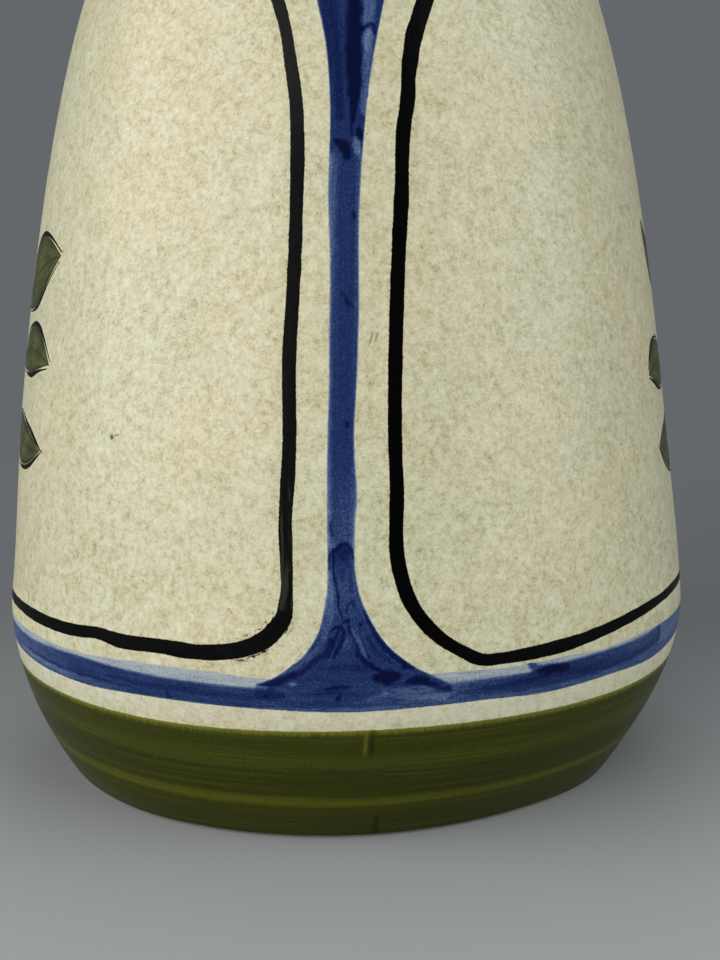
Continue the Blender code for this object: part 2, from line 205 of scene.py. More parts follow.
RIGHT_LINE = (
    (74.0, 45.6, 2.2), (62.0, 45.9, 2.2), (54.0, 45.2, 2.3), (48.0, 44.5, 2.4), (44.0, 43.9, 2.5),
    (40.0, 43.2, 2.5), (36.0, 42.5, 2.55), (32.0, 41.8, 2.6), (26.2, 41.1, 2.7), (19.4, 40.7, 2.4),
    (17.6, 40.7, 2.4), (16.3, 41.2, 2.5), (14.8, 42.4, 2.5), (11.6, 45.5, 2.7), (7.6, 53.2, 2.85),
    (6.6, 58.0, 3.0), (6.15, 62.8, 2.95), (6.25, 68.0, 2.9), (6.5, 74.0, 2.85), (6.5, 82.1, 2.8),
    (6.9, 101.3, 2.8), (7.65, 120.5, 2.85), (8.25, 131.0, 2.9), (8.85, 143.8, 2.95), (9.75, 150.8, 3.0),
    (9.95, 154.6, 3.1), (10.45, 158.5, 3.4), (11.05, 162.3, 3.6), (12.25, 166.5, 3.6), (13.45, 170.4, 3.4),
)
# Width of the line over the arch, and height and width of the line at a panel's foot, in millimetres
ARCH_LINE_WIDTH = 2.7
PANEL_FOOT_LINE = (42.3, 2.4)

# Where the listed points end, how soon the edges and lines above join the part's own, and the heights at
# which they are carried on up to the neck. All are in millimetres, as is the step of a drawn line
HAND_TOP = 170.0
FLARE_FADE = 45.0
ARCH_FADE = 40.0
DRAWN_STEP = 0.5
FLARE_HEIGHTS = (178.0, 186.0, 194.0, 202.0, 210.0, 217.0, 223.0, 228.0, 231.5, 233.6)
ARCH_HEIGHTS = (178.0, 187.0, 196.0, 205.0, 213.0, 219.5, 224.0, 227.0, 228.6)

# Blue foot ring, drawn by hand: (angle, height in millimetres) of its lower and upper edges
RING_LOWER_EDGE = (
    (-90.0, 32.1), (-56.0, 31.4), (-41.0, 31.0), (-29.0, 31.8), (-11.0, 31.9), (0.0, 31.7), (12.0, 32.4),
    (18.0, 32.6), (25.0, 32.2), (40.0, 32.6), (50.0, 32.2), (60.0, 32.9), (70.0, 33.4), (90.0, 32.1),
)
RING_UPPER_EDGE = (
    (-90.0, 37.6), (-54.0, 38.1), (-40.0, 38.0), (-28.0, 38.7), (-19.0, 38.8), (-11.0, 38.1), (0.0, 38.4),
    (11.0, 38.9), (17.0, 38.9), (23.0, 38.9), (25.0, 39.4), (30.0, 39.2), (36.0, 38.8), (45.0, 39.4),
    (54.0, 40.2), (62.0, 40.6), (72.0, 39.9), (90.0, 37.6),
)

# Blue brush marks near the front: points as (millimetres to the right, height in millimetres), half-widths
# at the start, middle and end, and how much pigment the mark adds or takes away
BLUE_MARKS = (
    # The long stroke of the column, from the seam of two brush loads down to the cap
    (((0.9, 138.6), (0.5, 127.0), (0.2, 111.0), (-0.1, 66.0)), (1.6, 2.1, 2.1), 0.10),
    (((-2.1, 138.0), (-2.4, 118.0)), (0.7, 0.5, 0.3), -0.05),
    # Dark core of the upper stroke, its tail, and the paler strip beside it
    (((2.7, 180.0), (2.5, 168.0), (2.2, 160.0), (2.2, 152.0), (1.9, 145.5)), (0.9, 1.6, 0.5), 0.32),
    (((-3.0, 178.0), (-2.4, 166.0), (-1.2, 154.0), (-0.6, 146.0)), (1.4, 1.5, 0.8), 0.10),
    (((2.2, 158.5), (2.3, 151.0)), (1.7, 1.8, 1.4), 0.16),
    (((2.0, 150.0), (1.6, 142.6)), (0.3, 0.3, 0.25), 0.18),
    (((4.8, 178.0), (4.9, 165.8), (4.0, 147.0)), (1.6, 1.4, 0.6), -0.21),
    (((3.1, 163.2), (4.3, 163.9), (5.7, 164.5), (6.1, 162.8)), (0.35, 0.45, 0.4), 0.30),
    (((4.9, 162.4), (4.6, 159.5)), (0.7, 0.6, 0.4), -0.10),
    # Where two brush loads meet: a dab, a dot and a pale gap
    (((-1.1, 141.3), (0.2, 140.3), (0.6, 138.5)), (0.6, 1.1, 0.7), 0.36),
    (((3.0, 143.6), (3.2, 141.8)), (0.5, 0.6, 0.4), 0.34),
    (((2.6, 141.6), (2.8, 139.2)), (0.7, 0.9, 0.6), -0.24),
    # Spots on the column
    (((1.8, 127.3), (1.9, 126.5)), (0.4, 0.4, 0.4), 0.22),
    (((-0.4, 112.0), (1.8, 109.6)), (0.4, 0.5, 0.3), 0.12),
    (((0.4, 110.4), (0.6, 110.0)), (0.3, 0.35, 0.3), 0.25),
    (((0.9, 87.2), (1.0, 86.8)), (0.3, 0.35, 0.3), 0.25),
    (((-2.0, 68.5), (-1.9, 66.0)), (0.3, 0.35, 0.3), 0.16),
    # Rounded cap of the flare's first stroke: rim, dark head, line down its left and wash beside it
    (((-2.7, 61.0), (-2.1, 62.4), (-1.5, 63.1), (-1.1, 62.9), (-0.5, 63.9), (0.25, 64.3), (1.0, 64.2),
      (1.8, 63.3), (2.2, 61.6)), (0.22, 0.34, 0.22), 0.20),
    (((0.3, 63.4), (0.2, 62.0)), (1.2, 1.5, 1.0), 0.13),
    (((0.2, 63.0), (-0.1, 57.6)), (1.5, 1.3, 0.5), 0.10),
    (((-1.5, 62.8), (-1.7, 60.0), (-1.4, 57.2), (-1.0, 54.3), (-0.7, 52.2), (-0.3, 49.9)),
     (0.28, 0.24, 0.16), 0.24),
    (((-2.4, 62.0), (-2.5, 59.4)), (0.4, 0.4, 0.3), 0.12),
    (((-2.4, 58.2), (-2.6, 53.3), (-3.0, 49.5), (-3.8, 46.7)), (0.4, 1.0, 0.8), -0.11),
    (((1.7, 60.0), (1.5, 55.1)), (0.3, 0.4, 0.3), 0.06),
    # Head of the right foot's stroke, the line under it and the paler strip between
    (((0.8, 51.0), (0.9, 52.3), (1.4, 53.1), (2.2, 53.4)), (0.18, 0.26, 0.16), 0.18),
    (((1.9, 52.7), (2.1, 52.3)), (0.25, 0.3, 0.25), 0.20),
    (((0.0, 49.1), (0.5, 49.5), (1.0, 50.0)), (0.22, 0.32, 0.2), 0.24),
    (((0.9, 49.5), (1.3, 48.0), (1.9, 46.3), (2.4, 45.0)), (0.28, 0.24, 0.18), 0.20),
    (((2.6, 44.7), (3.3, 42.8), (4.3, 41.5), (5.7, 40.7), (7.4, 39.9)), (0.3, 0.5, 0.35), 0.27),
    (((1.9, 47.8), (3.1, 45.0), (4.4, 42.8)), (0.4, 0.6, 0.4), -0.11),
    (((0.5, 46.3), (0.9, 44.5)), (0.5, 0.9, 0.5), -0.09),
    # Right foot of the flare: its dark side, the pale rim outside it, and three dots
    (((4.0, 51.3), (5.3, 48.7), (7.0, 45.9), (9.2, 43.4), (11.5, 41.7), (13.6, 40.4)),
     (0.22, 0.65, 0.5), 0.22),
    (((5.0, 50.2), (7.1, 46.7), (9.7, 43.8), (12.6, 41.6), (16.0, 39.7)), (0.2, 0.32, 0.3), -0.12),
    (((4.6, 46.2), (6.8, 43.2), (9.0, 41.5)), (0.3, 0.5, 0.3), 0.08),
    (((3.2, 48.9), (3.5, 48.7)), (0.25, 0.28, 0.25), 0.28),
    (((4.8, 43.0), (5.0, 42.6)), (0.28, 0.32, 0.28), 0.24),
    (((11.8, 40.7), (12.2, 40.3)), (0.35, 0.4, 0.35), 0.24),
    # Left foot of the flare: a hooked rim, two lines inside it, its long dark side and its pale upper rim
    (((-2.1, 47.7), (-1.3, 48.4), (-0.5, 48.4), (0.05, 47.7), (-0.3, 45.8), (-1.1, 43.9), (-1.7, 42.6)),
     (0.22, 0.42, 0.28), 0.27),
    (((-0.9, 47.7), (-1.7, 45.8), (-2.4, 43.9), (-2.9, 42.7)), (0.22, 0.32, 0.25), 0.22),
    (((-2.3, 45.9), (-3.0, 44.4), (-4.2, 42.6), (-5.7, 41.5), (-8.0, 39.7), (-10.0, 38.8)),
     (0.3, 0.65, 0.4), 0.16),
    (((-2.6, 46.0), (-2.3, 45.6)), (0.4, 0.45, 0.4), 0.20),
    (((-3.7, 46.0), (-5.7, 43.6), (-8.8, 41.0), (-11.6, 39.0)), (0.4, 0.7, 0.35), -0.10),
    (((-9.4, 39.5), (-11.5, 38.2), (-13.8, 37.2), (-16.6, 36.3)), (0.35, 0.65, 0.45), 0.24),
    (((-10.2, 37.3), (-9.5, 37.2)), (0.35, 0.6, 0.35), -0.20),
    # Level strokes and pools where the flare runs into the ring
    (((-4.0, 40.4), (0.5, 40.6), (5.5, 40.3)), (0.4, 0.7, 0.5), 0.09),
    (((6.6, 38.5), (8.3, 38.6), (10.4, 38.7)), (0.8, 1.45, 0.8), 0.34),
    (((12.7, 37.7), (14.4, 37.9), (16.2, 37.7)), (0.5, 0.75, 0.5), 0.34),
    (((16.0, 37.4), (18.8, 36.3), (21.0, 35.6)), (0.5, 0.5, 0.62), 0.28),
    (((-3.4, 36.4), (-1.1, 36.7), (1.6, 37.0)), (0.18, 0.34, 0.18), 0.28),
    (((-1.3, 34.3), (-0.6, 34.9)), (0.32, 0.42, 0.32), 0.28),
    (((-16.4, 34.8), (-13.6, 35.0), (-11.4, 34.8)), (0.8, 1.1, 0.6), 0.14),
    (((-15.2, 34.7), (-14.6, 34.8)), (0.25, 0.3, 0.25), 0.16),
    (((-5.0, 35.4), (-1.5, 35.8), (2.5, 35.6)), (0.4, 0.7, 0.4), 0.07),
    (((4.5, 34.2), (9.0, 35.2), (14.0, 34.8), (20.0, 34.0)), (0.5, 1.1, 0.7), -0.09),
    (((8.1, 35.6), (8.3, 35.4)), (0.14, 0.18, 0.14), -0.30),
)

# Full part of the foot ring's strokes: angle, lower and upper edge in millimetres, and pigment
RING_BODY = (
    (-90.0, 31.9, 36.8, 0.54), (-66.0, 31.8, 36.6, 0.50), (-54.0, 31.6, 36.6, 0.54),
    (-40.0, 31.3, 37.2, 0.64), (-28.0, 32.1, 36.5, 0.64), (-10.5, 32.3, 36.1, 0.62),
    (-9.0, 32.4, 37.6, 0.62), (0.0, 32.7, 37.8, 0.64), (8.0, 32.9, 37.4, 0.58),
    (10.0, 32.8, 36.9, 0.54), (13.0, 33.0, 36.8, 0.52), (18.0, 33.3, 37.0, 0.58),
    (24.0, 33.5, 37.1, 0.66), (27.0, 33.6, 37.9, 0.68), (36.0, 33.7, 38.2, 0.64),
    (46.0, 34.4, 38.6, 0.56), (52.0, 35.2, 39.2, 0.58), (54.0, 34.8, 39.4, 0.44),
    (66.0, 34.6, 39.6, 0.44), (78.0, 33.0, 38.2, 0.48), (90.0, 31.9, 36.8, 0.54),
)
# Pigment above and below it
RING_WASH = 0.19
RING_LOW_STRIP = 0.52
# How far the edges of brush marks stray, and the longest of the waves they stray in, in millimetres
MARK_WANDER = 0.16
MARK_WAVE = 5.0

# Blue brush marks round the foot ring: points as (angle, height in millimetres), half-widths and pigment
RING_MARKS = (
    # Left: a paler strip under a thin line, and a spot at the lower edge
    (((-60.0, 32.8), (-44.0, 32.3), (-31.0, 32.4)), (0.5, 0.8, 0.2), -0.14),
    (((-60.0, 33.7), (-44.0, 33.3), (-30.0, 33.5)), (0.15, 0.25, 0.15), 0.16),
    (((-34.0, 34.6), (-22.0, 34.4), (-12.0, 34.2)), (0.4, 0.8, 0.6), 0.08),
    (((-24.3, 33.1), (-23.7, 32.6)), (0.25, 0.35, 0.25), 0.24),
    # Right: the core of the first stroke, then a second that starts with a blob and ends in a cap
    (((14.0, 34.7), (20.0, 35.1), (27.0, 35.8)), (0.3, 0.8, 0.5), 0.12),
    (((27.0, 36.4), (36.0, 35.2), (45.0, 35.2), (51.0, 35.8)), (0.4, 0.9, 0.6), 0.10),
    (((23.9, 39.2), (24.3, 38.4), (25.6, 37.6), (27.6, 37.1), (30.2, 36.8)), (0.5, 0.95, 0.6), 0.36),
    (((52.4, 39.0), (53.0, 37.6), (52.2, 35.8)), (0.3, 0.5, 0.4), 0.22),
    (((20.1, 32.5), (20.3, 32.4)), (0.2, 0.25, 0.2), 0.4),
)


# Wall of the vase
def leaning(degrees):
    """Direction in the (radius, height) plane that climbs and leans inwards by this much."""
    return np.array((-math.sin(math.radians(degrees)), math.cos(math.radians(degrees))))


def outline_table():
    """Points and outward normals up the outside of the clay, as rows of (radius, height)."""
    lip_height = HEIGHT - WALL / 2 * (1 + math.sin(math.radians(LIP_FLARE)))
    places = np.array((
        (FOOT_RADIUS, 0.0),
        (BELLY_RADIUS, BELLY_HEIGHT),
        (SHOULDER_RADIUS, HEIGHT - SHOULDER_DROP),
        (NECK_RADIUS, HEIGHT - NECK_DROP),
        (LIP_RADIUS, lip_height),
    ))
    headings = [leaning(lean) for lean in (-HEEL_FLARE, BELLY_LEAN, SHOULDER_LEAN, 0.0, -LIP_FLARE)]
    points = []
    normals = []
    t = np.linspace(0.0, 1.0, CURVE_STEPS + 1)[:, None]
    s = 1.0 - t
    for k, (start_reach, end_reach) in enumerate(HANDLE_REACHES):
        rise = places[k + 1][1] - places[k][1]
        start, end = places[k], places[k + 1]
        first = start + headings[k] * (start_reach * rise)
        second = end - headings[k + 1] * (end_reach * rise)
        point = start * s**3 + first * (3 * s * s * t) + second * (3 * s * t * t) + end * t**3
        heading = (first - start) * (s * s) + (second - first) * (2 * s * t) + (end - second) * (t * t)
        heading /= np.linalg.norm(heading, axis=1, keepdims=True)
        begin = 0 if k == 0 else 1
        points.append(point[begin:])
        normals.append(np.stack((heading[:, 1], -heading[:, 0]), axis=1)[begin:])
    return np.concatenate(points), np.concatenate(normals)


WALL_POINTS, WALL_NORMALS = outline_table()


def wall_radius(height):
    return np.interp(height, WALL_POINTS[:, 1], WALL_POINTS[:, 0])


def wall_normal(height):
    """Outward and upward parts of the wall's normal."""
    outward = np.interp(height, WALL_POINTS[:, 1], WALL_NORMALS[:, 0])
    upward = np.interp(height, WALL_POINTS[:, 1], WALL_NORMALS[:, 1])
    return outward, upward


def askew(height):
    """How far the casting has shifted sideways at this height."""
    belly = BELLY_SHIFT * np.exp(-(((height - BELLY_SHIFT_HEIGHT) / BELLY_SHIFT_SPREAD) ** 2))
    heel = HEEL_SHIFT * np.exp(-((height / HEEL_SHIFT_SPREAD) ** 2))
    return belly + heel


def cast(points):
    """Where points of a true turned vase lie on this casting, which is a little askew and out of round."""
    x, y, z = np.moveaxis(points, -1, 0)
    angle = np.degrees(np.arctan2(x, -y))
    outward = np.interp(angle, HEEL_LINE[:, 0], HEEL_LINE[:, 1]) * MM
    swell = 1.0 + outward * np.exp(-((z / HEEL_ROUND_SPREAD) ** 2)) / FOOT_RADIUS
    return np.stack((x * swell * OVAL + askew(z), y * swell, z), axis=-1)


def on_wall(turn, height, lift):
    """Points this far out from the clay, at turns in radians and heights up the outside."""
    outward, upward = wall_normal(height)
    radius = wall_radius(height) + outward * lift
    return cast(np.stack((radius * np.sin(turn), -radius * np.cos(turn), height + upward * lift), axis=-1))


def smooth_step(value):
    share = np.clip(value, 0.0, 1.0)
    return share * share * (3.0 - 2.0 * share)


def drawn(points, step, closed=False):
    """A smooth line through these points, with a new point about every step."""
    points = np.array(points, float)
    if closed:
        points = np.concatenate((points[-2:], points, points[:3]))
    chords = np.concatenate(([0.0], np.cumsum(np.linalg.norm(np.diff(points, axis=0), axis=1))))
    tangents = np.gradient(points, chords, axis=0)
    first, last = (chords[2], chords[-3]) if closed else (chords[0], chords[-1])
    count = max(2, round((last - first) / step))
    where = np.linspace(first, last, count + 1)
    k = np.clip(np.searchsorted(chords, where, side="right") - 1, 0, len(points) - 2)
    span = (chords[k + 1] - chords[k])[:, None]
    t = ((where - chords[k])[:, None]) / span
    return (
        points[k] * (2 * t**3 - 3 * t**2 + 1)
        + tangents[k] * span * (t**3 - 2 * t**2 + t)
        + points[k + 1] * (3 * t**2 - 2 * t**3)
        + tangents[k + 1] * span * (t**3 - t**2)
    )


HEEL_LINE = drawn(HEEL_ROUND, 2.0)


# Modelling
def set_points(piece, points):
    piece.data.vertices.foreach_set("co", np.asarray(points, np.float32).ravel())
    piece.data.update()


def get_points(piece):
    points = np.empty(len(piece.data.vertices) * 3, np.float32)
    piece.data.vertices.foreach_get("co", points)
    return points.reshape(-1, 3).astype(float)


def named_piece(name):
    """The piece that the last operator added, under this name."""
    piece = bpy.context.object
    piece.name = name
    piece.data.name = name
    return piece


def turned(name, outline, turns):
    """A closed outline of (radius, height) points, spun about the vase's axis."""
    bpy.ops.object.select_all(action="DESELECT")
    bpy.ops.mesh.primitive_circle_add(vertices=len(outline), radius=BELLY_RADIUS)
    piece = named_piece(name)
    set_points(piece, np.stack((outline[:, 0], np.zeros(len(outline)), outline[:, 1]), axis=1))
    bpy.ops.object.mode_set(mode="EDIT")
    bpy.ops.mesh.select_all(action="SELECT")
    bpy.ops.mesh.spin(steps=turns, angle=math.tau, center=(0, 0, 0), axis=(0, 0, 1))
    bpy.ops.mesh.select_all(action="SELECT")
    bpy.ops.mesh.remove_doubles(threshold=MERGE_DISTANCE)
    bpy.ops.mesh.delete_loose()
    bpy.ops.mesh.select_all(action="SELECT")
    bpy.ops.mesh.normals_make_consistent(inside=False)
    bpy.ops.object.mode_set(mode="OBJECT")
    set_points(piece, cast(get_points(piece)))
    bpy.ops.object.shade_smooth_by_angle(angle=SMOOTH_ANGLE)
    return piece


def wrapped(name, columns, rows, shape, closed=False):
    """A flat grid laid on the wall, then given thickness.

    shape(u, v) gives the points, and the named numbers that each point keeps for the finish to read.
    """
    bpy.ops.object.select_all(action="DESELECT")
    bpy.ops.mesh.primitive_grid_add(x_subdivisions=columns, y_subdivisions=rows, size=2.0)
    piece = named_piece(name)
    flat = get_points(piece)
    points, values = shape((flat[:, 0] + 1.0) / 2, (flat[:, 1] + 1.0) / 2)
    set_points(piece, points)
    for key, numbers in values.items():
        attribute = piece.data.attributes.new(key, "FLOAT", "POINT")
        attribute.data.foreach_set("value", np.asarray(numbers, np.float32).ravel())
    if closed:
        bpy.ops.object.mode_set(mode="EDIT")
        bpy.ops.mesh.select_all(action="SELECT")
        bpy.ops.mesh.remove_doubles(threshold=MERGE_DISTANCE)
        bpy.ops.object.mode_set(mode="OBJECT")
    body = piece.modifiers.new("Thickness of the colour", "SOLIDIFY")
    body.thickness = PAINT_THICKNESS
    body.offset = -1.0
    bpy.ops.object.modifier_apply(modifier=body.name)
    bpy.ops.object.shade_smooth_by_angle(angle=SMOOTH_ANGLE)
    return piece


def paint_lift(inside):
    """Lift of a colour sheet: sunk under the glaze at its rim, and a hair proud of it further in."""
    return COAT_OUTSIDE - PAINT_SUNK + (PAINT_SUNK + PAINT_PROUD) * smooth_step(inside / PAINT_ROUNDING)


def stands_for(piece, slot, finish, *nodes):
    """Gives a piece its finish and its place in the frame."""
    piece.data.materials.clear()
    piece.data.materials.append(finish)
    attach(piece, "root")
    if nodes:
        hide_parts(*nodes)


# Finishes
def shown(red, green, blue):
    """Linear colour from the values that a screen shows, 0 to 255."""
    parts = [value / 255 for value in (red, green, blue)]
    linear = [part / 12.92 if part <= 0.04045 else ((part + 0.055) / 1.055) ** 2.4 for part in parts]
    return (*linear, 1.0)


class Socket:
    """A socket of a finish. Sums of sockets and numbers add Math nodes, and node() adds any other node."""

    def __init__(self, socket):
        self.socket = socket

    def node(self, kind, inputs, settings=None, output=0):
        made = self.socket.id_data.nodes.new(kind)
        for name, value in (settings or {}).items():
            setattr(made, name, value)
        for name, value in inputs.items():
            if isinstance(value, Socket):
                self.socket.id_data.links.new(value.socket, made.inputs[name])
            else:
                made.inputs[name].default_value = value
        return Socket(made.outputs[output])

    def maths(self, operation, first, second):
        return self.node("ShaderNodeMath", {0: first, 1: second}, {"operation": operation})

    def __add__(self, other):
        return self.maths("ADD", self, other)

    __radd__ = __add__

    def __sub__(self, other):
        return self.maths("SUBTRACT", self, other)

    def __rsub__(self, other):
        return self.maths("SUBTRACT", other, self)

    def __mul__(self, other):
        return self.maths("MULTIPLY", self, other)

    def __truediv__(self, other):
        return self.maths("DIVIDE", self, other)

    def larger(self, other):
        return self.maths("MAXIMUM", self, other)

    def part(self, axis):
        """One of a place's three parts, with X as 0."""
        return self.node("ShaderNodeSeparateXYZ", {0: self}, output=axis)

    def length(self):
        return self.node("ShaderNodeVectorMath", {0: self}, {"operation": "LENGTH"}, 1)

    def between(self, low, high):
        """0 below the low value, 1 above the high one, and smooth in between."""
        settings = {"interpolation_type": "SMOOTHSTEP"}
        return self.node("ShaderNodeMapRange", {"Value": self, "From Min": low, "From Max": high}, settings)

    def ramp(self, stops):
        """The colour for this value, from rows of a value and the red, green and blue shown there."""
        made = self.node("ShaderNodeValToRGB", {"Fac": self})
        elements = made.socket.node.color_ramp.elements
        while len(elements) < len(stops):
            elements.new(1.0)
        for element, (value, *colour) in zip(elements, stops):
            element.position = value
            element.color = shown(*colour)
        return made

    def mixed(self, first, second):
        """The first colour where this is 0 and the second where it is 1."""
        settings = {"data_type": "RGBA", "clamp_factor": True}
        return self.node("ShaderNodeMix", {0: self, 6: first, 7: second}, settings, 2)

    def noise(self, scale, detail=2.0, roughness=0.5, stretch=(1.0, 1.0, 1.0), shift=(0.0, 0.0, 0.0)):
        """Noise at these coordinates. A stretch above 1 crowds it along that axis."""
        at = self.node("ShaderNodeMapping", {"Vector": self, "Scale": stretch, "Location": shift})
        inputs = {"Vector": at, "Scale": scale, "Detail": detail, "Roughness": roughness}
        return self.node("ShaderNodeTexNoise", inputs)

    def spots(self, scale):
        """How far away the nearest of many scattered spots is."""
        return self.node("ShaderNodeTexVoronoi", {"Vector": self, "Scale": scale})

    def stored(self, name):
        """A number kept with each point of the piece."""
        return self.node("ShaderNodeAttribute", {}, {"attribute_name": name}, 2)


RIPPLE_DEPTH = 0.0006
GROG_DEPTH = 0.0005


class Finish:
    """A material with its Principled shader, the piece's own coordinates and its grid's coordinates."""

    def __init__(self, name):
        self.material = bpy.data.materials.new(name)
        self.material.use_nodes = True
        self.tree = self.material.node_tree
        self.shader = self.tree.nodes["Principled BSDF"]
        self.out = Socket(self.tree.nodes["Material Output"].inputs[0])
        self.place = self.out.node("ShaderNodeTexCoord", {}, output=3)
        self.grid = self.out.node("ShaderNodeTexCoord", {}, output=2)

    def set(self, **values):
        """Sets or links the shader's sockets. Underscores stand for spaces."""
        for name, value in values.items():
            socket = self.shader.inputs[name.replace("_", " ")]
            if isinstance(value, Socket):
                self.tree.links.new(value.socket, socket)
            else:
                socket.default_value = value

    def bump(self, height, strength, distance=RIPPLE_DEPTH):
        inputs = {"Height": height, "Strength": strength, "Distance": distance}
        self.set(Normal=self.out.node("ShaderNodeBump", inputs))


# Colour ramps: value, then red, green and blue as shown
CREAM_WARM = (
    (0.34, 225, 219, 191), (0.50, 208, 201, 166), (0.58, 196, 187, 149), (0.65, 181, 170, 128),
    (0.74, 155, 142, 100),
)
CREAM_COOL = (
    (0.34, 221, 219, 193), (0.50, 204, 202, 169), (0.58, 191, 187, 150), (0.65, 175, 169, 128),
    (0.74, 150, 142, 102),
)
BLUES = (
    (0.00, 190, 194, 184), (0.18, 164, 172, 178), (0.40, 84, 104, 142), (0.60, 36, 56, 102),
    (0.80, 14, 27, 74), (1.00, 6, 12, 50),
)
OLIVES = (
    (0.00, 46, 49, 15), (0.10, 54, 57, 18), (0.25, 53, 57, 17), (0.315, 60, 63, 17), (0.345, 86, 87, 22),
    (0.38, 74, 76, 19), (0.405, 52, 56, 16), (0.60, 50, 55, 17), (0.655, 64, 68, 21), (0.72, 62, 66, 20),
    (0.77, 53, 58, 17), (0.87, 57, 61, 19), (1.00, 66, 70, 24),
)
LEAF_GREENS = ((0.0, 136, 138, 90), (0.3, 102, 107, 58), (0.6, 68, 75, 42), (1.0, 31, 37, 23))
# Floor greys: pale in front, then painted shade, darkest behind the vase
FLOOR_GREYS_WITH_PAINTED_SHADE = (
    (0.00, 196, 199, 200), (0.045, 166, 169, 171), (0.075, 146, 149, 152), (0.12, 113, 116, 119),
    (0.16, 107, 110, 114), (0.21, 103, 107, 111), (0.40, 107, 111, 116),
)
# Paler cream for the strip above the green foot band: pooled glaze, with a painted sheen of light in it
POOLED_GLAZE_AND_SHEEN = shown(227, 224, 206)
PIT = shown(92, 84, 58)
LINE_BLACK = shown(2, 2, 2)
# Grey for thinner black paint, also standing in for a painted reflection near the top of one upright
LINE_GREY = shown(28, 28, 30)
LINE_GAP = shown(76, 73, 64)
GLAZE_ROUGHNESS = 0.32
GLAZE_SPECULAR = 0.40
PAINT_SPECULAR = 0.06
LINE_SPECULAR = 0.05
# Height of the olive ramp in millimetres
OLIVE_SPAN = 30.0


def ripples(place):
    """Soft unevenness of the glaze."""
    return place.noise(420.0, 2.0, 0.5)


def glaze_specks(place):
    return place.noise(1150.0, 1.0, 0.5, shift=(0.0, 1.7, 0.0)).between(0.56, 0.80)


def oatmeal(place):
    """Colour of the speckled cream glaze."""
    mottles = place.noise(540.0, 4.0, 0.96)
    clusters = place.noise(190.0, 2.0, 0.55, shift=(2.3, 0.0, 0.0)) - 0.5
    grain = mottles + glaze_specks(place) * 0.08 + clusters * 0.17
    drift = place.noise(24.0, 3.0, 0.55)
    colour = drift.between(0.38, 0.62).mixed(grain.ramp(CREAM_WARM), grain.ramp(CREAM_COOL))
    height = place.part(2)
    # Paler strip 26 to 36 mm up, above the green band: pooled glaze, and painted sheen where the glaze
    # catches more light
    pool_and_sheen = height.between(0.026, 0.030) * (1.0 - height.between(0.0315, 0.036))
    colour = (pool_and_sheen * 0.3).mixed(colour, POOLED_GLAZE_AND_SHEEN)
    pits = 1.0 - place.spots(190.0).between(0.020, 0.055)
    return (pits * 0.60).mixed(colour, PIT)


def painted(place, ragged=0.12, soft=0.16, scale=1500.0):
    """1 inside the painted edge and 0 outside, with the edge a little ragged. Sizes are in millimetres."""
    stray = place.noise(scale, 2.0, 0.6) - 0.5
    return (place.stored("inside") + stray * (2 * ragged)).between(-soft / 2, soft / 2)


def on_glaze(finish, cover, colour, relief, strength, specular=PAINT_SPECULAR):
    """Ends a finish whose colour covers the cream glaze and adds its relief to the glaze's ripples."""
    colour = cover.mixed(oatmeal(finish.place), colour)
    finish.set(Base_Color=colour, Roughness=GLAZE_ROUGHNESS, Specular_IOR_Level=specular)
    finish.bump(ripples(finish.place) + relief, strength)
    return finish.material


# Turn, height, half width, half height, lean and strength, in degrees and millimetres, and colour
KILN_MARKS = (
    (-34.5, 83.8, 0.66, 0.62, 35.0, 0.95, shown(78, 68, 30)),
    (-33.6, 84.2, 0.95, 0.34, -15.0, 0.70, shown(112, 98, 54)),
    (-36.6, 84.6, 0.26, 0.46, 0.0, 0.60, shown(104, 96, 56)),
    (-14.1, 161.3, 0.40, 0.38, 0.0, 0.55, shown(86, 138, 96)),
    (3.6, 103.5, 0.23, 1.90, 15.0, 0.62, shown(104, 84, 40)),
    (4.4, 103.9, 0.27, 1.05, 20.0, 0.58, shown(112, 90, 44)),
)
KILN_MARK_DEPTH = 10 * MM


def kiln_marks(place, colour):
    """The colour with the few iron spots and scratches that the fire left in the glaze."""
    rough = place.noise(2600.0, 2.0, 0.6) - 0.5
    for turn, height, half_width, half_height, lean, strength, tint in KILN_MARKS:
        facing = math.radians(turn)
        spot = on_wall(np.array([facing]), np.array([height * MM]), np.zeros(1))[0]
        inputs = {
            "Vector": place,
            "Location": tuple(spot),
            "Rotation": (0.0, math.radians(lean), facing),
            "Scale": (half_width * MM, KILN_MARK_DEPTH, half_height * MM),
        }
        away = place.node("ShaderNodeMapping", inputs, {"vector_type": "TEXTURE"}).length()
        cover = 1.0 - (away + rough * 0.9).between(0.55, 1.05)
        colour = (cover * strength).mixed(colour, tint)
    return colour


def glaze_finish():
    finish = Finish("speckled cream glaze")
    place = finish.place
    specks = glaze_specks(place)
    finish.set(
        Base_Color=kiln_marks(place, oatmeal(place)),
        Roughness=GLAZE_ROUGHNESS + specks * 0.10,
        Specular_IOR_Level=GLAZE_SPECULAR,
    )
    finish.bump(ripples(place) + specks * 0.2, 0.10)
    return finish.material


def blue_finish(name, stretch, fine):
    """Blue with broad streaks and fine brush fibres, each given by its grid's cells across and along."""
    finish = Finish(name)
    place = finish.place
    grain = place.noise(2400.0, 2.0, 0.7) - 0.5
    streaks = finish.grid.noise(1.0, 3.0, 0.6, stretch=stretch) - 0.5
    fibres = finish.grid.noise(1.0, 2.0, 0.6, stretch=fine, shift=(5.0, 0.0, 0.0)) - 0.5
    load = place.stored("load") + grain * 0.44 + streaks * 0.28 + fibres * 0.24
    return on_glaze(finish, painted(place, 0.14, 0.24), load.ramp(BLUES), load * 0.3, 0.12)


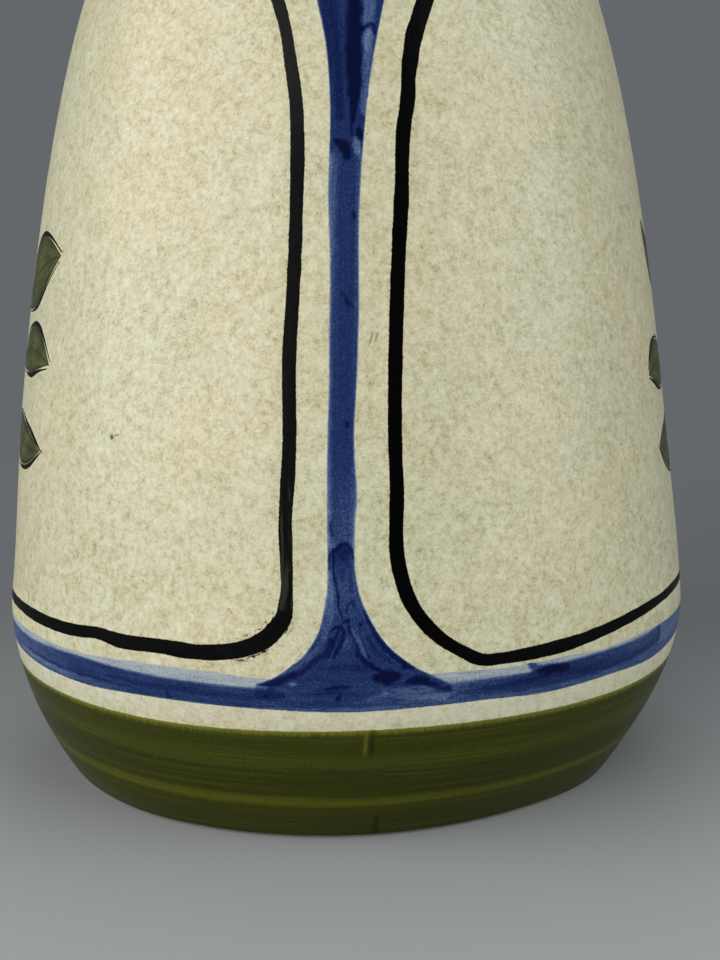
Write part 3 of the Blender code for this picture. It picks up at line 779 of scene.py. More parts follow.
def black_finish():
    """Black line colour: grey for thinner paint and painted sheen, dry-brush gaps, and stray hairs beside
    it.
    """
    finish = Finish("black line colour")
    place = finish.place
    hairs = finish.grid.noise(1.0, 3.0, 0.6, stretch=(90.0, 7.0, 1.0))
    dry = place.stored("dry")
    gaps = (hairs + dry * 0.20).between(0.62, 0.80) * dry.between(0.0, 0.15)
    # Grey for thinner paint and for the painted reflection near the top of the dry upright
    thin_and_sheen = place.stored("thin_and_sheen") + (hairs - 0.5) * 0.30
    colour = thin_and_sheen.between(0.0, 1.0).mixed(LINE_BLACK, LINE_GREY)
    colour = (gaps * 0.35).mixed(colour, LINE_GAP)
    stray = finish.grid.noise(1.0, 2.0, 0.7, stretch=(420.0, 9.0, 1.0)).between(0.53, 0.61)
    stray = stray * place.stored("stray") * place.stored("inside").between(-1.05, -0.45)
    cover = painted(place, 0.17, 0.14, 2300.0).larger(stray)
    return on_glaze(finish, cover, colour, gaps * -0.4, 0.14, LINE_SPECULAR)


def green_finish(name):
    """Olive green laid on a turning wheel: level streaks, thinner and yellow where the brush was dry."""
    finish = Finish(name)
    place = finish.place
    level = place.stored("level")
    along = place.node("ShaderNodeCombineXYZ", {0: place.stored("round"), 1: level / OLIVE_SPAN})
    bands = along.noise(1.0, 2.0, 0.5, stretch=(9.0, 5.0, 1.0)) - 0.5
    bristles = along.noise(1.0, 3.0, 0.6, stretch=(7.0, 44.0, 1.0))
    hairs = along.noise(1.0, 2.0, 0.6, stretch=(11.0, 150.0, 1.0), shift=(3.0, 0.0, 0.0))
    upright = place.noise(1400.0, 2.0, 0.6, stretch=(1.0, 1.0, 0.12)) - 0.5
    fringe = 1.0 - (place.stored("inside") + upright * 1.3).between(-0.1, 1.5)
    flecks = place.noise(1100.0, 1.0, 0.5, shift=(7.0, 0.0, 0.0)).between(0.70, 0.80)
    colour = ((level + bands * 1.9) / OLIVE_SPAN).ramp(OLIVES)
    for cover, tint in (
        (bristles.between(0.50, 0.78) * 0.40, (40, 44, 14)),
        ((1.0 - bristles.between(0.22, 0.50)) * 0.45, (80, 84, 25)),
        (hairs.between(0.52, 0.72) * 0.50, (36, 40, 12)),
        ((1.0 - hairs.between(0.28, 0.46)) * 0.50, (88, 91, 27)),
        (upright.between(0.04, 0.25) * 0.40, (38, 42, 13)),
        (fringe * 0.85, (122, 126, 44)),
        # Mould seam: pale glaze line with its painted highlight, then its painted shadow
        (place.stored("seam_pale_glaze_and_highlight"), (98, 98, 30)),
        (place.stored("seam_painted_shadow"), (22, 24, 8)),
        (flecks * 0.25, (100, 104, 62)),
    ):
        colour = cover.mixed(colour, shown(*tint))
    return on_glaze(finish, painted(place, 0.18, 0.26), colour, bristles * 0.25 + hairs * 0.25, 0.15)


def leaf_finish():
    finish = Finish("leaf green colour")
    place = finish.place
    streaks = finish.grid.noise(1.0, 3.0, 0.6, stretch=(3.0, 14.0, 1.0)) - 0.5
    pools = place.noise(210.0, 2.0, 0.5) - 0.5
    grain = place.noise(2200.0, 2.0, 0.6) - 0.5
    load = place.stored("load") + streaks * 0.7 + pools * 0.6 + grain * 0.2
    return on_glaze(finish, painted(place, 0.12, 0.20), load.ramp(LEAF_GREENS), 0.0, 0.14)


def ochre_finish():
    finish = Finish("ochre colour")
    place = finish.place
    blotches = place.noise(700.0, 3.0, 0.6)
    colour = blotches.between(0.35, 0.65).mixed(shown(172, 128, 48), shown(140, 92, 32))
    dots = 1.0 - place.spots(520.0).between(0.16, 0.30)
    colour = (dots * 0.7).mixed(colour, shown(84, 52, 22))
    return on_glaze(finish, painted(place, 0.12, 0.20), colour, 0.0, 0.14)


def clay_finish():
    finish = Finish("bare fired clay")
    grog = finish.place.noise(800.0, 4.0, 0.6)
    colour = grog.between(0.35, 0.70).mixed(shown(206, 190, 160), shown(176, 154, 120))
    stain = finish.place.noise(40.0, 3.0, 0.6).between(0.5, 0.75)
    colour = (stain * 0.4).mixed(colour, shown(150, 126, 92))
    finish.set(Base_Color=colour, Roughness=0.78 + grog * 0.15, IOR=1.45)
    finish.bump(grog + finish.place.noise(2600.0, 2.0, 0.5) * 0.5, 0.35, GROG_DEPTH)
    return finish.material


# Round floor: its radius, and how far out it starts to fade
FLOOR_RADIUS = 0.95
FLOOR_FADE = 0.38
# Where its ramp of greys and painted shade starts in front of the vase, and how far back it runs
FLOOR_FRONT = 0.2
FLOOR_DEPTH = 2.7


def floor_finish():
    """Pale grey paper with painted shade, darker behind the vase, that fades into the studio's air towards
    its rim.
    """
    finish = Finish("pale studio floor")
    # Painted shade: the greys darken from the front of the floor to behind the vase
    paper = ((finish.place.part(1) + FLOOR_FRONT) / FLOOR_DEPTH).ramp(FLOOR_GREYS_WITH_PAINTED_SHADE)
    cloud = finish.place.noise(3.0, 2.0, 0.5).between(0.3, 0.7)
    colour = (cloud * 0.04).mixed(paper, shown(196, 198, 199))
    fade = finish.place.length().between(FLOOR_FADE, FLOOR_RADIUS)
    finish.set(Base_Color=colour, Roughness=0.75, Alpha=1.0 - fade)
    return finish.material


# Clay and glazes
def lip_path(first, last, steps):
    """Points and normals over the rounded lip. 0 is its outer side, 180 its inner side."""
    normal = WALL_NORMALS[-1]
    centre = WALL_POINTS[-1] - normal * (WALL / 2)
    turn = np.radians(np.linspace(first, last, steps + 1))[:, None]
    aside = np.array((-normal[1], normal[0]))
    spokes = normal * np.cos(turn) + aside * np.sin(turn)
    return centre + spokes * (WALL / 2), spokes


def inside_path(every):
    """Points and normals down the inside of the clay, from the lip to the middle of the floor."""
    inner = WALL_POINTS - WALL_NORMALS * WALL
    keep = inner[:, 1] > FLOOR + FLOOR_FILLET
    points = inner[keep][::-every]
    normals = -WALL_NORMALS[keep][::-every]
    share = np.linspace(0.0, 1.0, 9)[1:, None]
    corner = points[-1]
    drop = (corner[1] - FLOOR) * np.sin(share * math.pi / 2)
    inset = FLOOR_FILLET * (1.0 - np.cos(share * math.pi / 2))
    fillet = np.concatenate((corner[0] - inset, corner[1] - drop), axis=1)
    level = np.array((0.0, 1.0))
    bent = normals[-1] * (1.0 - share) + level * share
    bent /= np.linalg.norm(bent, axis=1, keepdims=True)
    middle = np.array(((FOOT_RADIUS / 2, FLOOR), (0.0, FLOOR)))
    points = np.concatenate((points, fillet, middle))
    normals = np.concatenate((normals, bent, np.array((level, level))))
    return points, normals


def make_clay_body():
    ring_inside = FOOT_RADIUS - FOOT_RING_WIDTH
    edge = FOOT_EDGE
    underside = np.array((
        (0.0, FOOT_RECESS),
        (ring_inside - 2 * edge, FOOT_RECESS),
        (ring_inside - 0.5 * edge, FOOT_RECESS - 0.5 * edge),
        (ring_inside, FOOT_RECESS - 2 * edge),
        (ring_inside, edge),
        (ring_inside + 0.3 * edge, 0.3 * edge),
        (ring_inside + edge, 0.0),
        (FOOT_RADIUS - edge, 0.0),
        (FOOT_RADIUS - 0.3 * edge, 0.2 * edge),
    ))
    outside = WALL_POINTS[WALL_POINTS[:, 1] > 0.8 * edge][::2]
    lip = lip_path(0.0, 180.0, 10)[0][1:-1]
    piece = turned("clay", np.concatenate((underside, outside, lip, inside_path(4)[0])), TURNS // 2)
    stands_for(piece, "bare_clay", clay_finish(), "clay_body")


def make_glazes(finish):
    lip_points, lip_normals = lip_path(0.0, 180.0, 14)
    lap_points, lap_normals = (part[1:4] for part in inside_path(1))
    above_foot = WALL_POINTS[:, 1] > BARE_FOOT
    points = np.concatenate((WALL_POINTS[above_foot], lip_points[1:], lap_points))
    normals = np.concatenate((WALL_NORMALS[above_foot], lip_normals[1:], lap_normals))
    outside = points + normals * COAT_OUTSIDE
    outside[-3:] += lap_normals * (GLAZE_LAP * np.array((1.0, 0.5, -1.0)))[:, None]
    # The coat thins out over its last three points above the bare foot
    rounded = np.array((1.0, 0.8, 0.3))
    thinned = (COAT_OUTSIDE - COAT_INSIDE) * 0.8 * rounded * (1.0 - np.arange(3) / 3)
    outside[:3] -= normals[:3] * thinned[:, None]
    inside = (points + normals * COAT_INSIDE)[::-6]
    inside[-1] = points[0] + normals[0] * COAT_INSIDE
    piece = turned("cream_glaze", np.concatenate((outside, inside)), TURNS)
    stands_for(piece, "cream_glaze", finish, "cream_glaze_coat")
    points, normals = inside_path(4)
    shell = np.concatenate((points + normals * COAT_INSIDE, (points + normals * COAT_OUTSIDE)[::-1]))
    stands_for(turned("lining", shell, TURNS // 2), "cream_glaze", finish, "lining_glaze")


# Green bands
def make_green_bands():
    rng = np.random.default_rng(GREEN_SEED)
    phases = rng.uniform(0.0, math.tau, 6)
    seam = math.radians(MOULD_SEAM)
    lip_top = WALL_POINTS[-1, 1]
    lip_points, lip_normals = lip_path(0.0, 125.0, 12)

    def wobble(turn):
        waves = [math.sqrt(1.0 / (k + 2)) * np.sin((k + 2) * turn + phases[k]) for k in range(6)]
        return sum(waves) * 0.12 * MM

    def top_at(turn):
        degrees = np.degrees((turn + math.pi) % math.tau - math.pi)
        rise = GREEN_RISE * np.exp(-(((degrees - GREEN_RISE_ANGLE) / GREEN_RISE_SPREAD) ** 2))
        return GREEN_TOP + GREEN_TILT * np.sin(turn) + rise + wobble(turn)

    def foot_shape(u, v):
        # The grid starts and ends at the mould seam, with its columns closest there
        turn = seam + math.tau * u - 0.78 * np.sin(math.tau * u)
        top = top_at(turn)
        height = BARE_FOOT + (top + GREEN_MARGIN - BARE_FOOT) * v
        rim = np.minimum(top + GREEN_MARGIN - height, height - BARE_FOOT + PAINT_ROUNDING / 2)
        z = height / MM
        aside = ((turn - seam + math.pi) % math.tau - math.pi) * wall_radius(height) / MM
        # Mould seam: a pale line with a painted highlight where the glaze breaks over the ridge, painted
        # shadow beside it and low down
        upper = smooth_step((z - 21.6) / 1.2)
        lower = smooth_step((z - 0.8) / 1.0) * (1.0 - smooth_step((z - 5.0) / 2.6))
        pale = 0.75 * np.exp(-(((aside + SEAM_SLANT_MM) / 0.40) ** 2)) * upper
        dark = 0.55 * np.exp(-(((aside + SEAM_SLANT_MM - 1.2) / 0.6) ** 2)) * upper
        dark += 0.7 * np.exp(-((aside / 0.6) ** 2)) * lower
        return on_wall(turn, height, paint_lift(rim)), {
            "inside": (top - height) / MM,
            "level": z,
            "round": turn / math.tau,
            "seam_pale_glaze_and_highlight": pale,
            "seam_painted_shadow": dark,
        }

    def lip_shape(u, v):
        """Up the wall in the lower half of the grid, and over the lip in the upper half."""
        turn = math.tau * u + seam
        below = LIP_BAND_FOOT + wobble(turn) * 1.5
        up_wall = v < 0.5
        height = below - GREEN_MARGIN + (lip_top - below + GREEN_MARGIN) * np.clip(v * 2, 0.0, 1.0)
        lift = paint_lift(np.where(up_wall, height - below + GREEN_MARGIN, MM))
        over = np.clip(v * 2 - 1.0, 0.0, 1.0) * (len(lip_points) - 1)
        steps = np.arange(len(lip_points))
        ring_lift = paint_lift((1.0 - v) * 8 * MM)
        radius, rise = (
            np.interp(over, steps, lip_points[:, k]) + np.interp(over, steps, lip_normals[:, k]) * ring_lift
            for k in (0, 1)
        )
        lip = cast(np.stack((radius * np.sin(turn), -radius * np.cos(turn), rise), axis=1))
        return np.where(up_wall[:, None], on_wall(turn, height, lift), lip), {
            "inside": np.where(up_wall, (height - below) / MM, np.minimum(12.0, (1.0 - v) * 14.0 - 0.4)),
            "level": np.where(up_wall, (height - LIP_BAND_FOOT) / MM + 8.0, 20.0 + over / 2),
            "round": turn / math.tau,
        }

    piece = wrapped("green_foot", 760, 48, foot_shape, closed=True)
    stands_for(piece, "green_colour", green_finish("olive foot band"), "green_foot_band")
    piece = wrapped("green_lip", 360, 28, lip_shape, closed=True)
    stands_for(piece, "green_colour", green_finish("olive lip band"), "green_lip_band")


# Blue columns and rings
def mark_cover(x, z, path, halves):
    """How much a brush mark covers each point, from 0 to 1. The mark is as wide as its half-widths say."""
    line = drawn(path, 0.6) if len(path) > 2 else np.array(path, float)
    reach = max(halves) + 1.0
    near = (x > line[:, 0].min() - reach) & (x < line[:, 0].max() + reach)
    near &= (z > line[:, 1].min() - reach) & (z < line[:, 1].max() + reach)
    cover = np.zeros(len(x))
    if not near.any():
        return cover
    px, pz = x[near], z[near]
    best = np.full(len(px), 1e9)
    share = np.zeros(len(px))
    for k in range(len(line) - 1):
        a, b = line[k], line[k + 1]
        along = b - a
        t = np.clip(((px - a[0]) * along[0] + (pz - a[1]) * along[1]) / max(along @ along, 1e-9), 0.0, 1.0)
        away = np.hypot(px - a[0] - t * along[0], pz - a[1] - t * along[1])
        closer = away < best
        best = np.where(closer, away, best)
        share = np.where(closer, (k + t) / (len(line) - 1), share)
    half = np.interp(share, (0.0, 0.5, 1.0), halves)
    soft = 0.26 + 0.7 * half
    cover[near] = smooth_step((half - best) / soft + 0.5)
    return cover


def wander(x, z, seed, reach, longest):
    """A smooth random shift of each point, up to about this reach, as waves no longer than this."""
    rng = np.random.default_rng(seed)
    total = np.zeros(len(x))
    for k in range(9):
        heading = rng.uniform(0.0, math.tau)
        length = longest * 0.72**k
        wave = (x * math.cos(heading) + z * math.sin(heading)) * math.tau / length
        total += np.sin(wave + rng.uniform(0.0, math.tau)) * 0.85**k
    return total * (reach / 2.2)


def neck_half(height):
    """Half the turn that a column covers at a height above the spring of the arches, in radians."""
    share = (height - ARCH_SPRING) / (COLUMN_TOP - ARCH_SPRING)
    spread = 1.0 - math.sqrt(max(0.0, 1.0 - share * share))
    narrow = math.asin(COLUMN_HALF_WIDTH / wall_radius(height))
    return narrow + (math.radians(NECK_FLARE_SPREAD) - narrow) * spread


def column_edge(side, hand):
    """A column's edge all the way up, as a line of (millimetres to the right, height in millimetres)."""

    def flare(height):
        return side * wall_radius(height * MM) / MM * neck_half(height * MM)

    slip = hand[-1][0] - flare(hand[-1][1])
    top = []
    for height in FLARE_HEIGHTS:
        fade = 1.0 - smooth_step((height - HAND_TOP) / FLARE_FADE)
        top.append((flare(height) + slip * fade, height))
    return drawn(hand + tuple(top), DRAWN_STEP)


COLUMN_LEFT = column_edge(-1, COLUMN_LEFT_EDGE)
COLUMN_RIGHT = column_edge(1, COLUMN_RIGHT_EDGE)
RING_LOWER = drawn(RING_LOWER_EDGE, DRAWN_STEP)
RING_UPPER = drawn(RING_UPPER_EDGE, DRAWN_STEP)


def edge_at(line, z):
    """How far to the right a column's edge lies at these heights, all in millimetres."""
    return np.interp(z, line[:, 1], line[:, 0])


def aslant(line, z):
    """Way straight across a column's edge as a share of the level way, since the flares run aslant."""
    slope = np.gradient(line[:, 0], line[:, 1])
    return 1.0 / np.hypot(1.0, np.interp(z, line[:, 1], slope))


def fan_streaks(across, z):
    """Pigment that the bristles left in lines, fanning out towards the neck. Across runs from 0 to 1."""
    rng = np.random.default_rng(FAN_SEED)
    lines = np.zeros(len(z))
    for _ in range(22):
        waves = rng.uniform(8.0, 120.0)
        lines += np.sin(across * waves + rng.uniform(0.0, math.tau) + z * rng.uniform(-0.05, 0.05))
    edge = np.exp(-((np.minimum(across, 1.0 - across) / 0.035) ** 2))
    dry = smooth_step((z - 216.0) / 20.0) * (np.sin(across * 37.0 + z * 0.05) + np.sin(across * 83.0)) * 0.07
    return smooth_step((z - 166.0) / 16.0) * (lines * 0.035 + edge * 0.10 - 0.05 + dry)


def blue_field(turn, height):
    """Millimetres inside the blue's edge, and pigment, for turns in radians from a column's middle."""
    z = height / MM
    x = turn * wall_radius(height) / MM + np.interp(z, *COLUMN_LEAN)
    degrees = np.degrees(turn)
    left = edge_at(COLUMN_LEFT, z)
    right = edge_at(COLUMN_RIGHT, z)
    from_left = (x - left) * aslant(COLUMN_LEFT, z)
    from_right = (right - x) * aslant(COLUMN_RIGHT, z)
    in_column = np.where(z < COLUMN_LEFT[0, 1], -5.0, np.minimum(from_left, from_right))
    lower = np.interp(degrees, RING_LOWER[:, 0], RING_LOWER[:, 1])
    upper = np.interp(degrees, RING_UPPER[:, 0], RING_UPPER[:, 1])
    inside = np.maximum(in_column, np.minimum(z - lower, upper - z))
    column_share = smooth_step(in_column / 0.6 + 0.3)
    rim = 0.12 * (1.0 - smooth_step(from_left / 1.1)) + 0.09 * (1.0 - smooth_step(from_right / 0.6))
    column_load = COLUMN_PIGMENT - rim * (z < STROKE_SEAM + 1.0) * smooth_step((z - 48.0) / 16.0)
    above_cap = 0.10 * smooth_step((84.0 - z) / 16.0) * (z > FLARE_CAP)
    column_load += 0.12 * smooth_step((z - STROKE_SEAM) / 3.0) - above_cap
    column_load += 0.09 * smooth_step((56.0 - z) / 12.0)
    column_load += fan_streaks((x - left) / np.maximum(right - left, 1.0), z)
    body = np.array(RING_BODY)
    body_low, body_high, body_load = (np.interp(degrees, body[:, 0], body[:, k]) for k in (1, 2, 3))
    ring_load = RING_LOW_STRIP + (body_load - RING_LOW_STRIP) * smooth_step((z - body_low) / 0.7 + 0.5)
    ring_load = RING_WASH + (ring_load - RING_WASH) * smooth_step((body_high - z) / 0.8 + 0.5)
    load = ring_load + (column_load - ring_load) * column_share
    across = x + wander(x, z, MARK_SEEDS[0], MARK_WANDER, MARK_WAVE)
    up = z + wander(x, z, MARK_SEEDS[1], MARK_WANDER, MARK_WAVE)
    round_belly = turn * BELLY_RADIUS / MM + across - x
    for path, halves, strength in RING_MARKS:
        as_mm = tuple((math.radians(angle) * BELLY_RADIUS / MM, rise) for angle, rise in path)
        load = load + mark_cover(round_belly, up, as_mm, halves) * strength * (1.0 - column_share)
    for path, halves, strength in BLUE_MARKS:
        load = load + mark_cover(across, up, path, halves) * strength
    return inside, load


def make_columns():
    finish = blue_finish("blue column colour", (34.0, 5.0, 1.0), (52.0, 70.0, 1.0))
    foot = COLUMN_ROWS[1][0] * MM
    for name, middle, node in (
        ("blue_upright_front", 0.0, "blue_column_front"),
        ("blue_upright_back", math.pi, "blue_column_back"),
    ):

        def shape(u, v):
            height = np.interp(v, *COLUMN_ROWS) * MM
            z = height / MM
            left = edge_at(COLUMN_LEFT, z) - COLUMN_MARGIN_MM
            right = edge_at(COLUMN_RIGHT, z) + COLUMN_MARGIN_MM
            x = left + (right - left) * u
            rim = np.minimum(np.minimum(x - left, right - x) * MM, (height - foot) + 0.1 * MM)
            turn = middle + (x - np.interp(z, *COLUMN_LEAN)) * MM / wall_radius(height)
            inside, load = blue_field(turn - middle, height)
            return on_wall(turn, height, paint_lift(rim)), {"inside": inside, "load": load}

        stands_for(wrapped(name, 78, 560, shape), "blue_colour", finish, node)


def make_blue_rings():
    finish = blue_finish("blue ring colour", (60.0, 9.0, 1.0), (190.0, 30.0, 1.0))
    rng = np.random.default_rng(NECK_SEED)
    phases = rng.uniform(0.0, math.tau, 12)

    def waves(turn, first):
        return sum(np.sin((k + 1) * turn + phases[first + k]) / (k + 1) for k in range(4))

    def level_sheet(turn, v, low, high):
        """Heights of a ring's points, and the points. A ring lies a hair over the columns."""
        height = low + (high - low) * v
        lift = paint_lift(np.minimum(height - low, high - height)) + RING_LIFT
        return height, on_wall(turn, height, lift)

    def foot_shape(u, v):
        turn = u * math.tau - math.pi / 2
        height, points = level_sheet(turn, v, FOOT_RING_SHEET_LOW, FOOT_RING_SHEET_HIGH)
        from_column = np.where(turn > math.pi / 2, turn - math.pi, turn)
        inside, load = blue_field(from_column, height)
        return points, {"inside": inside, "load": load}

    def neck_shape(u, v):
        turn = u * math.tau
        height, points = level_sheet(turn, v, NECK_RING_FOOT - 0.9 * MM, NECK_RING_TOP + 0.7 * MM)
        bottom = NECK_RING_FOOT - 0.3 * MM + waves(turn, 0) * 0.22 * MM
        top = NECK_RING_TOP + waves(turn, 4) * 0.25 * MM
        from_column = np.abs((turn + math.pi / 2) % math.pi - math.pi / 2)
        on_column = smooth_step((math.radians(NECK_FLARE_SPREAD) - from_column) / 0.05)
        inside = np.minimum(height - bottom + on_column * 2.0 * MM, top - height) / MM
        lower = np.maximum(smooth_step((height - bottom) / (1.3 * MM)), on_column)
        strip = (0.9 + 0.4 * waves(3 * turn, 8)) * MM
        dark = lower * smooth_step((top - height - strip) / (1.2 * MM))
        return points, {"inside": inside, "load": 0.27 + 0.43 * dark + 0.06 * waves(5 * turn, 2)}

    piece = wrapped("blue_ring_at_foot", 1400, 22, foot_shape, closed=True)
    stands_for(piece, "blue_colour", finish, "blue_foot_ring")
    piece = wrapped("blue_ring_at_neck", 520, 16, neck_shape, closed=True)
    stands_for(piece, "blue_colour", finish, "blue_neck_ring")


# Black panel lines
def arch_points(hand, side):
    """Points that carry a hand-drawn upright on over the arch, to just short of the panel's middle."""
    last_angle, last_height = hand[-1][:2]
    points = []

    def arch_angle(height):
        rise = (height * MM - ARCH_SPRING) / (ARCH_TOP - ARCH_SPRING)
        turned_in = 1.0 - math.sqrt(max(0.0, 1.0 - rise * rise))
        return ARCH_SPRING_ANGLE + (90.0 - ARCH_SPRING_ANGLE) * turned_in

    slip = abs(last_angle) - arch_angle(last_height)
    for height in ARCH_HEIGHTS:
        fade = 1.0 - smooth_step((height - HAND_TOP) / ARCH_FADE)
        points.append((side * (arch_angle(height) + slip * fade), height, ARCH_LINE_WIDTH))
    return points


def panel_loop(side):
    """Turn, height and width of the line round one panel, front half first, starting at its foot."""
    front, back = (LEFT_LINE, RIGHT_LINE) if side < 0 else (RIGHT_LINE, LEFT_LINE)
    front = list(front) + arch_points(front, side)
    back = list(back) + arch_points(back, -side)
    back = [(angle + side * 180.0, height, width) for angle, height, width in back]
    foot = (side * 90.0, *PANEL_FOOT_LINE)
    top = (side * 90.0, ARCH_TOP / MM, ARCH_LINE_WIDTH)
    points = [foot] + front + [top] + back[::-1]
    belly = math.radians(1.0) * BELLY_RADIUS / MM
    level = [(angle * belly, height, width) for angle, height, width in points]
    loop = drawn(level, DRAWN_STEP, closed=True)
    return np.radians(loop[:, 0] / belly), loop[:, 1] * MM, loop[:, 2] * MM


def make_panel_lines(finish):
    rng = np.random.default_rng(LINE_SEED)
    for name, side, node in (
        ("black_line_left", -1, "black_panel_line_left"),
        ("black_line_right", 1, "black_panel_line_right"),
    ):
        turns, heights, widths = panel_loop(side)
        count = len(turns) - 1
        outward = wall_normal(heights)[0]
        radius = wall_radius(heights)
        along = np.stack((np.gradient(turns) * radius, np.gradient(heights) / outward), axis=1)
        along /= np.linalg.norm(along, axis=1, keepdims=True)
        # Smooth random swelling of the brush, the same at both ends of the loop
        ring = np.linspace(0.0, math.tau, count + 1)
        swell = sum(np.sin(k * ring + rng.uniform(0, math.tau)) / k**0.4 for k in range(9, 160, 5)) * 0.036
        half = widths / 2 * (1.0 + swell)
        sheet = widths.max() / 2 * 1.12 + 0.9 * MM
        # The upright to the left of each column was drawn with a nearly dry brush; the others are full
        first_half = np.arange(count + 1) < count * 0.5
        dry_upright = first_half if side < 0 else ~first_half
        z = heights / MM
        dry = smooth_step((z - 50.5) / 1.5) * (1.0 - smooth_step((z - 58.0) / 24.0)) * dry_upright
        # Greyer up this dry upright: thinner paint, and near the top a painted reflection of the light
        thin_and_sheen = (0.15 + 0.75 * smooth_step((z - 132.0) / 30.0)) * dry_upright * (z >= 49.0)
        corner = np.degrees(np.abs((turns + math.pi / 2) % math.pi - math.pi / 2))
        stray = smooth_step((51.5 - z) / 2.0) * smooth_step((16.0 - corner) / 3.0) * dry_upright

        def shape(u, v):
            k = np.rint(u * count).astype(int)
            offset = (v - 0.5) * 2 * sheet
            turn = turns[k] - along[k, 1] * offset / radius[k]
            height = heights[k] + along[k, 0] * offset * outward[k]
            inside = (half[k] - np.abs(offset)) / MM
            values = {"inside": inside, "dry": dry[k], "thin_and_sheen": thin_and_sheen[k], "stray": stray[k]}
            return on_wall(turn, height, paint_lift(sheet - np.abs(offset))), values

        stands_for(wrapped(name, count, 14, shape, closed=True), "black_colour", finish, node)


# Leaf sprays
def leaf_swell(share):
    """Half-width of a leaf along its length: full near its base, pointed at its tip."""
    return np.sin(math.pi * np.clip(share, 0.0, 1.0) ** 0.8)


def round_swell(share):
    share = np.clip(share, 0.0, 1.0)
    return 2 * np.sqrt(share * (1.0 - share))


# Pigment at shares of a blade's length, from its base, and of its half-width, from its midrib
def leaf_load(share, across):
    pool = 0.30 * smooth_step((np.abs(across) - 0.55) / 0.4)
    pool += 0.35 * smooth_step((0.25 - share) / 0.25)
    rib = 0.22 * np.exp(-((across / 0.10) ** 2))
    return 0.56 + pool + rib


def petal_load(share, across):
    rib = 0.18 * np.exp(-((across / 0.25) ** 2)) * (1.0 - share)
    return 0.80 - 0.42 * smooth_step(share) + rib


def bud_load(share, _across):
    return 0.78 - 0.4 * share


def eye_load(share, _across):
    return np.full(len(share), 0.5)


def spoke(bearing, distance):
    return np.array((math.cos(math.radians(bearing)), math.sin(math.radians(bearing)))) * distance


def blade_frame(start, heading, length, bow, share):
    """Midrib points of a blade at these shares of its length, and the directions across it."""
    along = spoke(heading, 1.0)
    aside = np.array((-along[1], along[0]))
    share = np.asarray(share)[:, None]
    middle = np.array(start) + along * (length * share) + aside * (bow * np.sin(math.pi * share))
    lean = along * length + aside * (bow * math.pi * np.cos(math.pi * share))
    lean /= np.linalg.norm(lean, axis=1, keepdims=True)
    return middle, np.stack((-lean[:, 1], lean[:, 0]), axis=1)


def on_spray(turn, across, up, lift):
    """Points on the wall, this far across and up from the middle of the blossom at this turn."""
    height = SPRAY_HEIGHT + up
    return on_wall(turn + across / wall_radius(height), height, lift)


def make_blade(name, turn, start, heading, length, width, bow, swell, load_at):
    """A leaf, petal or dot of colour. load_at(share, side) gives its pigment along and across it."""
    ends = BLADE_MARGIN / length

    def shape(u, v):
        share = -ends + (1.0 + 2 * ends) * u
        half = width / 2 * swell(share)
        offset = (v - 0.5) * 2 * (half + BLADE_MARGIN)
        middle, aside = blade_frame(start, heading, length, bow, share)
        point = middle + aside * offset[:, None]
        to_end = np.minimum(share + ends, 1.0 + ends - share) * length
        rim = np.minimum(half + BLADE_MARGIN - np.abs(offset), to_end)
        past_end = np.minimum(share, 1.0 - share) * length
        inside = np.where(past_end < 0, past_end - np.abs(offset) * 0.3, (half - np.abs(offset)) * 0.85)
        side = offset / np.maximum(half, 0.2 * MM)
        values = {"inside": inside / MM, "load": load_at(share, side)}
        return on_spray(turn, point[:, 0], point[:, 1], paint_lift(rim)), values

    return wrapped(name, 56, 20, shape)


def make_contour(name, turn, start, heading, length, width, bow, swell, side, first, last):
    """A fine black brush line that follows one side of a leaf, a little outside its colour."""
    gap = 0.12 * MM
    thickest = 0.48 * MM
    sheet = thickest + 0.35 * MM
    share = np.linspace(first, last, 90)
    middle, aside = blade_frame(start, heading, length, bow, share)
    stray = (np.sin(share * 5.0 + heading) * 0.65 + np.sin(share * 13.0 + heading * 2) * 0.16) * MM
    points = middle + aside * (side * (width / 2 * swell(share) + gap + stray))[:, None]
    run = np.gradient(points, axis=0)
    run /= np.linalg.norm(run, axis=1, keepdims=True)
    across = np.stack((-run[:, 1], run[:, 0]), axis=1)
    progress = np.linspace(0.0, 1.0, len(share))
    half = thickest * (0.35 + 0.65 * np.sin(math.pi * progress**1.4) ** 0.7)
    half = half * (1.0 + 0.35 * np.sin(progress * 8.0 + heading * 3))

    def shape(u, v):
        k = np.rint(u * (len(share) - 1)).astype(int)
        offset = (v - 0.5) * 2 * sheet
        point = points[k] + across[k] * offset[:, None]
        from_end = np.minimum(k, len(share) - 1 - k)
        rim = np.minimum(sheet - np.abs(offset), from_end * 0.3 * MM)
        inside = np.minimum(half[k] - np.abs(offset), from_end * 0.4 * MM - 0.3 * MM)
        values = {"inside": inside / MM, "dry": np.zeros(len(u)), "thin_and_sheen": np.full(len(u), 0.2)}
        return on_spray(turn, point[:, 0], point[:, 1], paint_lift(rim) + CONTOUR_LIFT), values

    return wrapped(name, len(share) - 1, 6, shape)


def make_stem(name, turn, start, length):
    """A bowed stem that runs up or down from this height above the blossom's middle."""
    sheet = STEM_WIDTH / 2 + 0.45 * MM

    def shape(u, v):
        bowed = STEM_BOW * np.sin(u * math.pi) if length > 0 else STEM_BOW * u * u
        offset = (v - 0.5) * 2 * sheet * (-1 if length > 0 else 1)
        from_end = np.minimum(u, 1.0 - u) * abs(length)
        rim = np.minimum(sheet - np.abs(offset), from_end + 0.1 * MM)
        half = STEM_WIDTH / 2 * (0.75 + 0.35 * np.sin(u * math.pi))
        inside = np.minimum(half - np.abs(offset), from_end - 0.2 * MM)
        values = {"inside": inside / MM, "load": 0.55 + 0.25 * np.sin(u * 5.0)}
        return on_spray(turn, bowed + offset, start + length * u, paint_lift(rim)), values

    return wrapped(name, 48, 8, shape)


